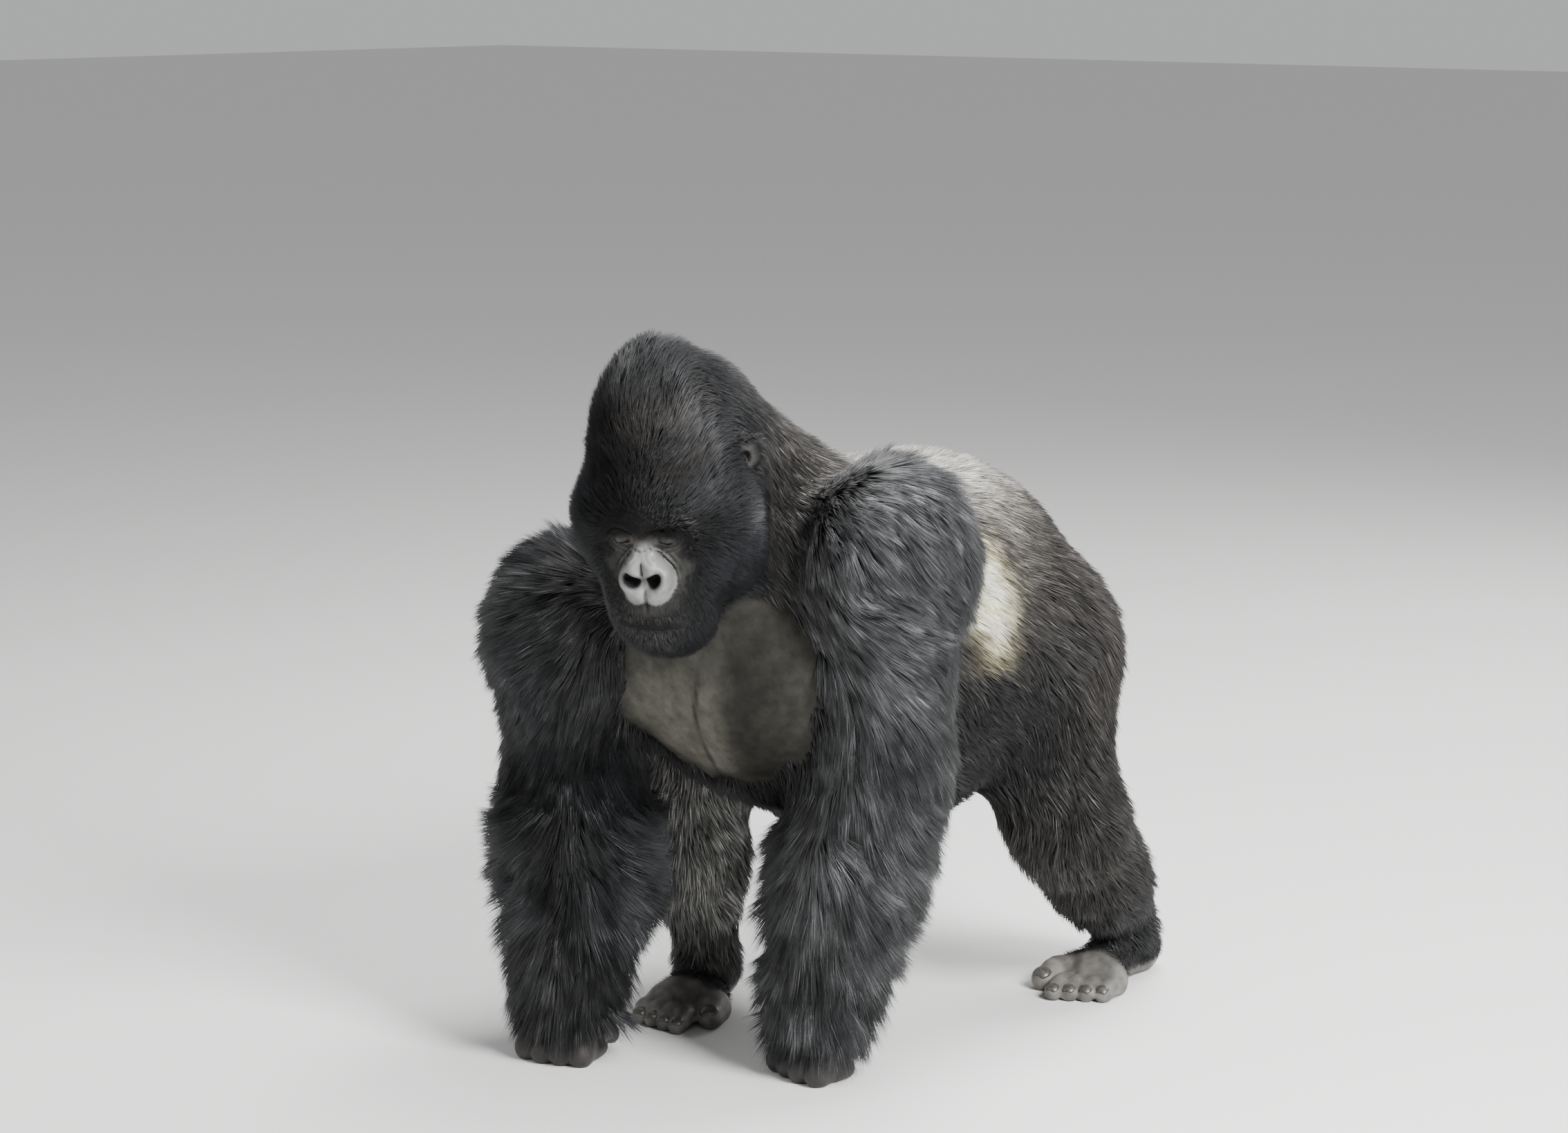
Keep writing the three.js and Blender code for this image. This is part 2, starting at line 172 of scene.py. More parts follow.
def ripple(p, size, seed, waves=6):  # a smooth uneven field from about -1 to 1
    chance = np.random.default_rng(seed)
    total = np.zeros(len(p))
    for _ in range(waves):
        way = chance.normal(size=3)
        way *= 2 * math.pi * chance.uniform(0.5, 1.3) / size / np.linalg.norm(way)
        total += np.sin(p @ way + chance.uniform(0, 6.3))
    return total / math.sqrt(waves)


def unit(v):
    return v / (np.linalg.norm(v, axis=-1, keepdims=True) + 1e-9)


def mix(a, b, t):
    return np.asarray(a, float) + (np.asarray(b, float) - np.asarray(a, float)) * t


# ---- the animal's frame: joints, head and trunk, in metres ----

limbs = {
    "left": {
        "side": 1, "shoulder": (0.25, -0.155, 0.815), "elbow": (0.222, -0.17, 0.455),
        "wrist": (0.162, -0.21, 0.155), "hip": (0.13, 0.305, 0.58), "knee": (0.235, 0.34, 0.3),
        "ankle": (0.215, 0.54, 0.095), "handTurn": -10, "footTurn": 8, "sweep": (0.1, 1.0, -0.1),
        "mantle": (1.0, 0.1, -0.5), "ruff": (0, 0, 0),
    },
    "right": {
        "side": -1, "shoulder": (-0.21, -0.325, 0.672), "elbow": (-0.245, -0.325, 0.42),
        "wrist": (-0.196, -0.392, 0.155), "hip": (-0.13, 0.31, 0.55), "knee": (-0.275, -0.02, 0.38),
        "ankle": (-0.235, -0.02, 0.09), "handTurn": 12, "footTurn": 20, "sweep": (-0.6, 0.75, -0.1),
        "mantle": (-0.9, 0.2, -0.55), "ruff": (0.035, 0.029, 0),
    },
}
head = {"centre": np.array((0.075, -0.434, 0.931)), "axes": turned(22, 30, -1.5)}
underfur = {"trunk": 0.006, "head": 0.004, "arm": 0.014, "leg": 0.007}  # felt under the long hairs


def toHead(p):
    return (p - head["centre"]) @ head["axes"]


def fromHead(*q):
    return head["centre"] + head["axes"] @ np.array(q, float)


def trunkField(p, hair):
    return joined(
        egg(p, (0.01, -0.145, 0.654), (0.232, 0.212, 0.237), turned(0, -5), hair),
        (egg(p, (-0.005, 0.095, 0.602), (0.272, 0.278, 0.288), turned(0, -8), hair), 0.1),
        (egg(p, (0, 0.301, 0.636), (0.204, 0.264, 0.225), turned(0, -48), hair), 0.1),
        (cone(p, (0.2, -0.115, 0.825), (-0.165, -0.245, 0.758), 0.052, 0.046, hair), 0.12),
        (egg(p, (0.09, -0.282, 0.63), (0.098, 0.075, 0.108)), 0.05),
        (egg(p, (-0.09, -0.282, 0.63), (0.098, 0.075, 0.108)), 0.05),
        (cone(p, (0.01, -0.131, 0.831), fromHead(0, 0.072, 0.045), 0.119, 0.101, hair), 0.1),
        (cone(p, (0.01, -0.215, 0.7), fromHead(0, 0.025, -0.042), 0.12, 0.088, hair), 0.08))


face = {
    "eyeApart": 0.033, "eyeForward": 0.137, "eyeHeight": 0.02, "eyeRadius": 0.0125,
    "lidRadius": 0.015, "slitWidth": 0.012, "slitHeight": 0.0026, "slitDrop": 0.0056,
    "mouthHeight": -0.087,
}
ear = {"aside": 0.117, "closer": 0.009, "back": 0.006, "height": 0.06, "turn": 50, "tilt": 8}


def nosePad(q, more=0.0):  # narrow over the bridge, widest at the wings, with two lobes over the lip
    d = np.full(len(q), 1.0)
    for s in (1, -1):
        lobe = egg(q, (s * 0.015, -0.167, -0.025), (0.0185, 0.026, 0.034), turned(s * 6, -14, -s * 12), more)
        wing = egg(q, (s * 0.0265, -0.169, -0.033), (0.0145, 0.022, 0.0185), more=more)
        lip = egg(q, (s * 0.0135, -0.179, -0.052), (0.0155, 0.016, 0.0145), more=more)
        d = blend(d, joined(lobe, (wing, 0.012), (lip, 0.01)), 0.0045)
    return d


def nostril(q):  # slants up and outwards from the wall between the two
    left, right = (egg(q, (s * 0.0163, -0.1915, -0.0262), (0.0146, 0.0165, 0.0078), turned(0, 14, -s * 38))
                   for s in (1, -1))
    return np.minimum(np.minimum(1.0, left), right)


def headField(p, hair, fine):
    q = toHead(p)
    d = joined(
        egg(q, (0, 0.015, 0.045), (0.1, 0.155, 0.112), more=hair),
        (egg(q, (-0.006, 0, 0.129), (0.067, 0.116, 0.11), turned(0, -24), hair), 0.07),
        (cone(q, (0.056, -0.12, 0.052), (-0.056, -0.12, 0.052), 0.03, 0.03, hair), 0.045))
    for s in (1, -1):
        d = joined(
            d, (cone(q, (s * 0.075, -0.048, -0.004), (s * 0.071, -0.048, -0.07), 0.06, 0.058, hair), 0.05),
            (cone(q, (s * 0.076, -0.085, -0.005), (s * 0.038, -0.145, -0.096), 0.031 + hair, 0.036), 0.04))
    d = joined(
        d, (cone(q, (0, -0.098, -0.034), (0, -0.144, -0.09), 0.065, 0.055), 0.04),
        (egg(q, (0, -0.142, -0.14), (0.054, 0.036, 0.034), more=hair), 0.04),
        (cone(q, (0, -0.02, -0.085), (0, -0.124, -0.13), 0.072, 0.042, hair), 0.05))
    if fine:
        near = q[:, 1] < -0.07
        d[near] = faceDetail(q[near], d[near])
    return d


def mouthLine(x):
    return face["mouthHeight"] - 1.5 * x ** 2 + 0.0008 * np.sin(x * 240)


def faceDetail(q, d):
    x, y, z = q.T
    side = np.abs(x)
    for s in (1, -1):
        d = hollow(d, egg(q, (s * 0.037, -0.158, 0.024), (0.026, 0.024, 0.018)), 0.016)
    eyeAside = side - face["eyeApart"]
    eyeUp = z - face["eyeHeight"]
    ball = np.sqrt(eyeAside ** 2 + (y + face["eyeForward"]) ** 2 + eyeUp ** 2)
    edge = nosePad(q)
    d = joined(d, (cone(q, (0, -0.126, 0.022), (0, -0.157, -0.006), 0.016, 0.02), 0.016), (edge, 0.007),
               (ball - face["lidRadius"], 0.006))
    # folds under the eyes, over the nose and round its wings
    rim = np.sqrt(eyeAside ** 2 + (eyeUp * 1.25) ** 2)
    below = smooth(-eyeUp, -0.004, 0.006)
    for reach, depth in ((0.0185, 0.0017), (0.0245, 0.0016), (0.031, 0.0012)):
        d += depth * bump(rim - reach, 0.0021) * below
    d += 0.0026 * bump(rim - 0.019, 0.0022) * smooth(eyeUp, 0.002, 0.008)
    inFold = smooth(side, 0.012, 0.02) * smooth(z, -0.066, -0.05) * smooth(-z, -0.024, -0.012)
    for reach, depth in ((0.003, 0.0024), (0.0095, 0.0018), (0.016, 0.0014)):
        d += depth * bump(edge - reach, 0.0026) * inFold
    d -= 0.0016 * bump(edge - 0.0062, 0.0026) * inFold
    for height, depth in ((0.0105, 0.0026), (0.018, 0.0014), (0.0255, 0.0012)):
        d += depth * bump(z - height - 12 * x ** 2, 0.0022) * smooth(-side, -0.019, -0.01)
    # the groove down the tip of the nose, the nostrils and the lips
    d += 0.0032 * bump(x, 0.0017) * smooth(z, -0.022, -0.016) * smooth(-z, -0.002, 0.004)
    d += 0.0034 * bump(x, 0.0026) * smooth(-z, 0.04, 0.05) * smooth(z, -0.08, -0.068)
    d += 0.0036 * smooth(-nostril(q), -0.0085, 0.0)
    d = hollow(d, nostril(q), 0.0035)
    line = mouthLine(x)
    inLine = smooth(-side, -0.06, -0.046) * smooth(-y, 0.12, 0.146)
    d -= 0.0024 * (bump(z - line - 0.0085, 0.006) + 1.5 * bump(z - line + 0.0105, 0.008)) * inLine
    d += 0.0044 * bump(z - line, 0.0026) * inLine
    # the opening of the lids, which the eyeball fills
    slit = np.array((face["eyeApart"], -face["eyeForward"] - face["eyeRadius"],
                     face["eyeHeight"] - face["slitDrop"]))
    for s in (1, -1):
        d = hollow(d, egg(q, slit * (s, 1, 1), (face["slitWidth"], 0.012, face["slitHeight"]),
                          turned(0, 0, s * 10)), 0.001)
    return d


def earAxes(s):
    return turned(-s * ear["turn"], 0, s * ear["tilt"])


def onEar(q, s):  # out of the ear's plane, across it and up it, alike for both ears
    aside = ear["aside"] - (ear["closer"] if s < 0 else 0)
    return (q - np.array((s * aside, ear["back"], ear["height"]))) @ earAxes(s) * (s, 1, 1)


def earField(p, s):
    e = onEar(toHead(p), s)
    d = egg(e, (0, 0.001, 0.001), (0.01, 0.024, 0.031))
    d = hollow(d, egg(e, (0.008, 0, 0.001), (0.0092, 0.019, 0.0255)), 0.003)
    d = hollow(d, egg(e, (0.001, -0.0075, -0.002), (0.0085, 0.0105, 0.015)), 0.003)
    ridge = ((0.003, -0.011, 0.015), (0.004, 0.001, 0.0155), (0.0044, 0.0085, 0.007),
             (0.0044, 0.008, -0.009), (0.0044, 0, -0.019))
    for a, b in zip(ridge, ridge[1:]):
        d = blend(d, cone(e, a, b, 0.003, 0.003), 0.003)
    return blend(d, cone(e, (0.004, -0.015, -0.01), (0.005, -0.011, -0.019), 0.0042, 0.0048), 0.005)


def armField(p, limb, hair):
    side, shoulder, elbow, wrist = (np.array(limb[k]) for k in ("side", "shoulder", "elbow", "wrist"))
    d = egg(p, shoulder + (side * 0.01, -0.018, 0.006),
            (0.102 + hair * 0.6, 0.126 + hair * 0.6, 0.125 + hair * 0.4))
    for a, b, radiusA, radiusB in (
        (shoulder + (0, -0.02, -0.04), elbow + (side * 0.006, 0.014, 0.02), 0.098 + hair, 0.074 + hair * 1.1),
        (mix(elbow, shoulder, 0.15) + (0, 0.015, 0), mix(elbow, wrist, 0.35), 0.072 + hair,
         0.069 + hair * 1.4),
        (mix(elbow, wrist, 0.3), wrist + (side * 0.008, 0.01, 0), 0.064 + hair * 1.6, 0.046 + hair * 1.6),
    ):
        d = blend(d, cone(p, a, b, radiusA, radiusB), 0.055)
    ruff = egg(p, mix(elbow, wrist, 0.57) + limb["ruff"], (0.06, 0.06, 0.07), more=hair * 1.1)
    cuff = cone(p, wrist, wrist + (0, 0.006, -0.06), 0.046 + hair * 0.9, 0.042 + hair * 0.3)
    return joined(d, (ruff, 0.055), (cuff, 0.05))


def legField(p, limb, hair):
    side, hip, knee, ankle = (np.array(limb[k]) for k in ("side", "hip", "knee", "ankle"))
    return joined(
        egg(p, hip + (side * 0.026, 0.008, 0), (0.134, 0.174, 0.16), more=hair),
        (cone(p, hip, knee, 0.144, 0.078, hair), 0.055),
        (cone(p, knee, mix(ankle, knee, 0.45), 0.07, 0.064, hair), 0.055),
        (cone(p, mix(ankle, knee, 0.55), ankle, 0.062 + hair, 0.04 + hair * 0.7), 0.055))


def inLimb(p, limb, joint, turn):
    return (p - np.array(limb[joint])) @ turned(limb[turn])


def handField(p, limb):
    side = limb["side"]
    q = inLimb(p, limb, "wrist", "handTurn")
    floor = -limb["wrist"][2]
    d = cone(q, (0, 0, 0.01), (0, -0.008, -0.07), 0.04, 0.04)
    d = blend(d, cone(q, (-0.036, -0.01, -0.076), (0.036, -0.01, -0.076), 0.027, 0.027), 0.025)
    fingers = np.full(len(p), 1.0)
    for i in range(4):
        x = (i - 1.5) * 0.031
        knuckle = -0.05 * (1 - 0.12 * abs(i - 1.5 - side * 0.3))
        one = blend(cone(q, (x, -0.01, -0.084), (x, knuckle, floor + 0.019), 0.0205, 0.019),
                    cone(q, (x, knuckle, floor + 0.017), (x, 0.012, floor + 0.017), 0.0185, 0.0165), 0.012)
        one = one + 0.0012 * bump(q[:, 1] + 0.03, 0.003) + 0.001 * bump(q[:, 1] + 0.018, 0.003)
        fingers = blend(fingers, one, 0.0015)
    thumb = cone(q, (-side * 0.048, 0, -0.056), (-side * 0.086, -0.014, -0.106), 0.019, 0.014)
    return joined(d, (fingers, 0.01), (thumb, 0.012))


def toeEnd(limb, i):  # where the last joint of a small toe ends, in the foot's own frame
    return (limb["side"] * (0.046 - 0.025 * i), -0.122 - 0.005 * i - 0.062 * (0.8 + 0.09 * i),
            -limb["ankle"][2] + 0.0125)


def footField(p, limb):
    side = limb["side"]
    q = inLimb(p, limb, "ankle", "footTurn")
    sole = -limb["ankle"][2]
    d = joined(
        cone(q, (0, 0, -0.02), (0, 0.044, sole + 0.033), 0.044, 0.037),
        (cone(q, (-side * 0.002, 0.01, sole + 0.04), (side * 0.004, -0.118, sole + 0.026), 0.042, 0.031),
         0.04),
        (cone(q, (side * 0.034, -0.112, sole + 0.02), (-side * 0.028, -0.096, sole + 0.021), 0.024, 0.026),
         0.035))
    toes = np.full(len(p), 1.0)
    for i in range(4):
        x = side * (0.046 - 0.025 * i)
        y = -0.122 - 0.005 * i
        reach = 0.062 * (0.8 + 0.09 * i)
        knuckle = (x, y - reach * 0.55, sole + 0.019)
        one = blend(cone(q, (x, y, sole + 0.015), knuckle, 0.0165, 0.0165),
                    cone(q, knuckle, toeEnd(limb, i), 0.016, 0.015), 0.008)
        one = one + 0.0013 * bump(q[:, 1] - y + reach * 0.55, 0.0035)
        toes = blend(toes, one, 0.0015)
    bend = (-side * 0.064, -0.124, sole + 0.022)
    big = blend(cone(q, (-side * 0.038, -0.066, sole + 0.024), bend, 0.027, 0.024),
                cone(q, bend, (-side * 0.07, -0.16, sole + 0.018), 0.0235, 0.0205), 0.012)
    big = big + 0.0014 * bump(q[:, 1] + 0.126, 0.004)
    return joined(d, (toes, 0.01), (big, 0.012))


armJoints = ("shoulder", "elbow", "wrist")
legJoints = ("hip", "knee", "ankle")


def partBoxes():
    def around(points, more):
        points = np.array(points, float)
        return points.min(0) - more, points.max(0) + more
    boxes = {
        "trunk": (np.array((-0.38, -0.62, 0.22)), np.array((0.38, 0.66, 1.28))),
        "head": around([head["centre"]], 0.33),
    }
    for name, limb in limbs.items():
        boxes[name + "Arm"] = around([limb[k] for k in armJoints], 0.22)
        boxes[name + "Leg"] = around([limb[k] for k in legJoints], 0.24)
        boxes[name + "Hand"] = around([limb["wrist"]], 0.2)
        boxes[name + "Foot"] = around([limb["ankle"]], 0.23)
    return boxes


boxes = partBoxes()


def partField(name, p, fine):
    if name == "trunk":
        return trunkField(p, underfur["trunk"])
    if name == "head":
        d = headField(p, underfur["head"], fine)
        for s in (1, -1):
            d = blend(d, earField(p, s), 0.004)
        return d
    limb = limbs["left" if name.startswith("left") else "right"]
    if name.endswith("Arm"):
        return armField(p, limb, underfur["arm"])
    if name.endswith("Leg"):
        return legField(p, limb, underfur["leg"])
    return handField(p, limb) if name.endswith("Hand") else footField(p, limb)


joins = [("trunk", 0), ("head", 0.045), ("leftArm", 0.055), ("rightArm", 0.055), ("leftLeg", 0.05),
         ("rightLeg", 0.05), ("leftHand", 0.018), ("rightHand", 0.018), ("leftFoot", 0.02),
         ("rightFoot", 0.02)]


def body(p, fine=True, far=0.4):  # far is the distance given where no part is near
    d = np.full(len(p), far)
    for name, width in joins:
        low, high = boxes[name]
        inside = np.all((p > low) & (p < high), 1)
        if not inside.any():
            continue
        here = partField(name, p[inside], fine)
        d[inside] = blend(d[inside], here, width) if width else np.minimum(d[inside], here)
    return np.maximum(d, -p[:, 2])


def slope(p, fine=True, step=0.0006):
    corners = np.array([(1, -1, -1), (-1, -1, 1), (-1, 1, -1), (1, 1, 1)], float)
    total = np.zeros_like(p)
    for corner in corners:
        total += corner * body(p + corner * step, fine)[:, None]
    return total / (4 * step)


# ---- one skin over the whole animal ----

skin = {
    "cell": 0.0094,  # size of a face away from the lenses
    "block": 4,  # cells along a block, which is looked at as a whole first
    "margin": 0.012,  # how far beyond its own size a block still counts as near
    "chunk": 150000,  # points worked out at a time
    "rounds": 3, "evening": 0.45, "stride": 0.004,  # how the points settle on the surface
    "lenses": (  # where the mesh is finer, taken one after the other: place, strength, reach
        (fromHead(0, -0.15, -0.01), 0.46, 0.34), (fromHead(0, -0.15, -0.01), 0.64, 0.5),
        ((0.162, -0.225, 0.045), 0.42, 0.17), ((-0.196, -0.4, 0.045), 0.42, 0.17),
        ((0.215, 0.44, 0.03), 0.42, 0.19), ((-0.235, -0.11, 0.03), 0.42, 0.19),
        (fromHead(0.117, 0.006, 0.06), 0.5, 0.06), (fromHead(-0.117, 0.006, 0.06), 0.5, 0.06),
        (fromHead(0, -0.18, -0.03), 0.36, 0.085),
        (fromHead(0.033, -0.152, 0.016), 0.4, 0.034), (fromHead(-0.033, -0.152, 0.016), 0.4, 0.034),
    ),
    "low": (-0.75, -1.25, -0.1), "high": (0.9, 0.74, 1.56),
}


def throughLenses(p):
    moved = p.copy()
    for place, strength, reach in skin["lenses"]:
        away = moved - np.array(place)
        near = np.exp(-dot(away, away) / reach ** 2)
        moved = moved - strength * near[:, None] * away
    return moved


def skinMesh():
    cell, low = skin["cell"], np.array(skin["low"])
    block = skin["block"]
    counts = (np.ceil((np.array(skin["high"]) - low) / cell / block).astype(int)) * block

    def lattice(steps):
        return np.stack(np.meshgrid(*[np.arange(n) for n in steps], indexing="ij"), -1).reshape(-1, 3)
    # far blocks keep the sign at their middle, near ones are worked out point by point
    middles = lattice(counts // block)
    places = throughLenses(low + cell * (middles * block + (block - 1) / 2))
    rough = np.concatenate([body(part, False) for part in np.array_split(places, 8)])
    close = np.abs(rough) < cell * block * 1.15 + skin["margin"]
    field = rough.reshape(counts // block).astype(np.float32)
    for axis in range(3):
        field = np.repeat(field, block, axis)
    at = (middles[close][:, None] * block + lattice([block] * 3)).reshape(-1, 3)
    values = np.concatenate([body(throughLenses(low + cell * part))
                             for part in np.array_split(at, max(1, len(at) // skin["chunk"]))])
    field[tuple(at.T)] = values
    inside = field < 0

    corners = lattice([2] * 3)
    total = np.zeros(counts - 1, np.int8)
    for i, j, k in corners:
        total += inside[i:counts[0] - 1 + i, j:counts[1] - 1 + j, k:counts[2] - 1 + k]
    cells = np.argwhere((total > 0) & (total < 8))
    number = np.full(counts - 1, -1)
    number[tuple(cells.T)] = np.arange(len(cells))
    sums = np.zeros((len(cells), 3))
    hits = np.zeros(len(cells))
    for axis in range(3):
        for corner in corners:
            if corner[axis]:
                continue
            a = cells + corner
            b = a.copy()
            b[:, axis] += 1
            va, vb = field[tuple(a.T)], field[tuple(b.T)]
            crossed = (va < 0) != (vb < 0)
            t = np.where(crossed, va / np.where(crossed, va - vb, 1), 0)
            spot = np.tile(corner.astype(float), (len(cells), 1))
            spot[:, axis] += t
            sums += spot * crossed[:, None]
            hits += crossed
    points = throughLenses(low + cell * (cells + sums / hits[:, None]))

    quads = []
    for axis in range(3):
        second, third = (axis + 1) % 3, (axis + 2) % 3
        start = [slice(1, n - 1) for n in counts]
        start[axis] = slice(0, counts[axis] - 1)
        end = list(start)
        end[axis] = slice(1, counts[axis])
        a, b = inside[tuple(start)], inside[tuple(end)]
        for outward, edges in ((True, a & ~b), (False, ~a & b)):
            where = np.argwhere(edges)
            where[:, second] += 1
            where[:, third] += 1
            ring = []
            for u, v in ((-1, -1), (0, -1), (0, 0), (-1, 0)):
                spot = where.copy()
                spot[:, second] += u
                spot[:, third] += v
                ring.append(number[tuple(spot.T)])
            ring = np.stack(ring, 1)
            quads.append(ring if outward else ring[:, ::-1])
    quads = np.concatenate(quads)

    # even out the faces a little, then settle every point on the surface
    for turn in range(skin["rounds"]):
        if turn < skin["rounds"] - 1:
            middle = points[quads].mean(1)
            gathered, shares = np.zeros_like(points), np.zeros(len(points))
            for corner in quads.T:
                np.add.at(gathered, corner, middle)
                np.add.at(shares, corner, 1)
            points = mix(points, gathered / np.maximum(shares, 1)[:, None], skin["evening"])
        steep = slope(points)
        move = np.clip(body(points) / np.maximum(dot(steep, steep), 0.3), -skin["stride"], skin["stride"])
        points = points - move[:, None] * steep
    points[:, 2] = np.maximum(points[:, 2], 0)
    return points, quads


def finishMesh(name, points, faces, sides, colours=None, colourName=None, uv=None):
    mesh = bpy.data.meshes.new(name)
    mesh.vertices.add(len(points))
    mesh.vertices.foreach_set("co", np.asarray(points, np.float32).ravel())
    mesh.loops.add(len(faces))
    mesh.loops.foreach_set("vertex_index", np.asarray(faces, np.int32))
    mesh.polygons.add(len(sides))
    starts = np.concatenate([[0], np.cumsum(sides)[:-1]])
    mesh.polygons.foreach_set("loop_start", starts.astype(np.int32))
    mesh.update(calc_edges=True)
    mesh.polygons.foreach_set("use_smooth", np.full(len(sides), True))
    if colours is not None:
        layer = mesh.color_attributes.new(colourName, "FLOAT_COLOR", "POINT")
        layer.data.foreach_set("color", np.asarray(colours, np.float32).ravel())
    if uv is not None:
        layer = mesh.uv_layers.new(name="OFBake")
        layer.uv.foreach_set("vector", np.asarray(uv, np.float32).ravel())
    return addObject(name, mesh)


def perPoint(mesh, name, kind, values):
    layer = mesh.attributes.new(name, kind, "POINT")
    layer.data.foreach_set("value" if kind == "FLOAT" else "vector", np.array(values, np.float32).ravel())


# ---- where the hair grows, how it lies and how it is marked ----

coat = {  # per part: hair length, depth over the skin, first lift in degrees, how far locks stray
    "head": (0.024, 0.009, 20, 0.75), "trunk": (0.031, 0.014, 22, 0.9), "arm": (0.064, 0.028, 24, 0.8),
    "forearm": (0.078, 0.038, 32, 1.2), "thigh": (0.042, 0.017, 24, 1.0), "shin": (0.034, 0.015, 25, 1.0),
}
tones = {
    # of the hair, some of them also painted light and shade on the arms and the head
    "black": (0.026, 0.0264, 0.0276), "skull": (0.0085, 0.0086, 0.009), "crownBrownAndHighlight": (0.014, 0.0122, 0.0108),
    "nearBlackAndShade": (0.0028, 0.0028, 0.0028), "brown": (0.036, 0.031, 0.027), "saddle": (0.27, 0.253, 0.228),
    "side": (0.085, 0.077, 0.066), "silver": (0.42, 0.4, 0.37), "cream": (1.0, 0.91, 0.55),
    "napeGreyAndTopLight": (0.058, 0.053, 0.048), "arm": (0.05, 0.051, 0.053), "rump": (0.046, 0.04, 0.036),
    "flank": (0.018, 0.017, 0.017), "grizzle": (0.2, 0.199, 0.188), "fuzz": (0.05, 0.051, 0.049),
    # of the skin, some of them painted highlight and shade on the face, the breast and the ears
    "faceSkin": (0.009, 0.009, 0.009), "eyeSkin": (0.038, 0.036, 0.033), "noseHighlight": (0.26, 0.26, 0.255),
    "muzzleSkin": (0.028, 0.027, 0.026), "chestSkin": (0.084, 0.081, 0.068), "handSkin": (0.03, 0.027, 0.026),
    "footSkin": (0.15, 0.142, 0.13), "wing": (0.075, 0.074, 0.072), "padEdgeShade": (0.09, 0.089, 0.086),
    "nostrilRimShade": (0.03, 0.03, 0.03), "nostrilWallShade": (0.016, 0.016, 0.016),
    "nostrilHoleShade": (0.002, 0.002, 0.002),
    "innerRidgeLight": (0.085, 0.085, 0.081), "outerRidgeLight": (0.048, 0.047, 0.044),
    "byNose": (0.03, 0.03, 0.028), "lips": (0.005, 0.004, 0.004), "breastShade": (0.005, 0.005, 0.0045),
    "earSkin": (0.016, 0.016, 0.016), "earHollowShade": (0.003, 0.003, 0.003),
}


def survey(p, mixing=0.022):  # the weight of each part at each point, from how near it is
    far = {"trunk": trunkField(p, underfur["trunk"]), "head": headField(p, underfur["head"], False)}
    for name in limbs:
        for end in ("Arm", "Leg", "Hand", "Foot"):
            far[name + end] = partField(name + end, p, False)
    table = np.stack(list(far.values()), 1)
    table = np.exp(-(table - table.min(1, keepdims=True)) / mixing)
    table /= table.sum(1, keepdims=True)
    return dict(zip(far, table.T.copy()))


def alongLimb(p, limb, joints):  # 0 at the first joint, 1 at the second, and so on
    best = np.full(len(p), 1e9)
    along = np.zeros(len(p))
    for i, ends in enumerate(zip(joints, joints[1:])):
        a, b = (np.array(limb[k]) for k in ends)
        c = np.clip((p - a) @ (b - a) / ((b - a) @ (b - a)), 0, 1)
        away = np.linalg.norm(p - a - c[:, None] * (b - a), axis=1)
        along = np.where(away < best, i + c, along)
        best = np.minimum(best, away)
    return along


def oval(u, v):
    return np.sqrt(u ** 2 + v ** 2)


def onBreast(p):  # distance from the middle of the bare breast, 1 at its edge, and left of its middle line
    q = p - np.array((0.065, -0.33, 0.625))
    left = q @ np.array((0.94, 0.34, 0))
    return oval((left + 0.004) / 0.18, q[:, 2] / 0.162), left


def besideWings(side, z, low, high):
    return smooth(-np.hypot((side - 0.055) / 0.014, (z + 0.022) / 0.012), low, high)


def bareness(p, normal, near):  # 1 where the skin is bare
    q = toHead(p)
    x, y, z = q.T
    side = np.abs(x)
    eyes = smooth(-oval(side / 0.054, (z - 0.013) / 0.021), -1.25, -0.9)
    nose = smooth(-oval(side / 0.052, (z + 0.023) / 0.044), -1.15, -0.98)
    bare = np.maximum.reduce([eyes, nose, 0.6 * besideWings(side, z, -1.5, -0.6)])
    bare = bare * smooth(-y, 0.095, 0.118) * near["head"]
    facing = normal @ head["axes"]
    ears = np.zeros(len(p))
    for s in (1, -1):
        shell = onEar(q, s) / (0.014, 0.022, 0.029)
        shell = smooth(-np.sqrt(shell[:, 0] ** 2 + shell[:, 1] ** 2 + shell[:, 2] ** 2), -1.1, -0.9)
        ears = np.maximum(ears, shell * smooth(facing @ earAxes(s)[:, 0] * s, -0.5, 0.0))
    ring, _ = onBreast(p)
    chest = smooth(-ring - 0.05 * ripple(p, 0.05, 31), -1.06, -0.94)
    chest = chest * smooth(-normal[:, 1], 0.1, 0.3) * smooth(-p[:, 1], 0.18, 0.22) * near["trunk"]
    bare = np.maximum.reduce([bare, ears, chest])
    for name, limb in limbs.items():
        palm = smooth(-inLimb(p, limb, "wrist", "handTurn")[:, 2], 0.045, 0.085)
        toes = np.maximum.reduce([
            smooth(-inLimb(p, limb, "ankle", "footTurn")[:, 1], 0.085, 0.115),
            smooth(-p[:, 2], -0.032, -0.014), smooth(-normal[:, 2], 0.3, 0.6)])
        bare = np.maximum.reduce([bare, near[name + "Hand"] * palm, near[name + "Foot"] * toes])
    return bare, chest, ears


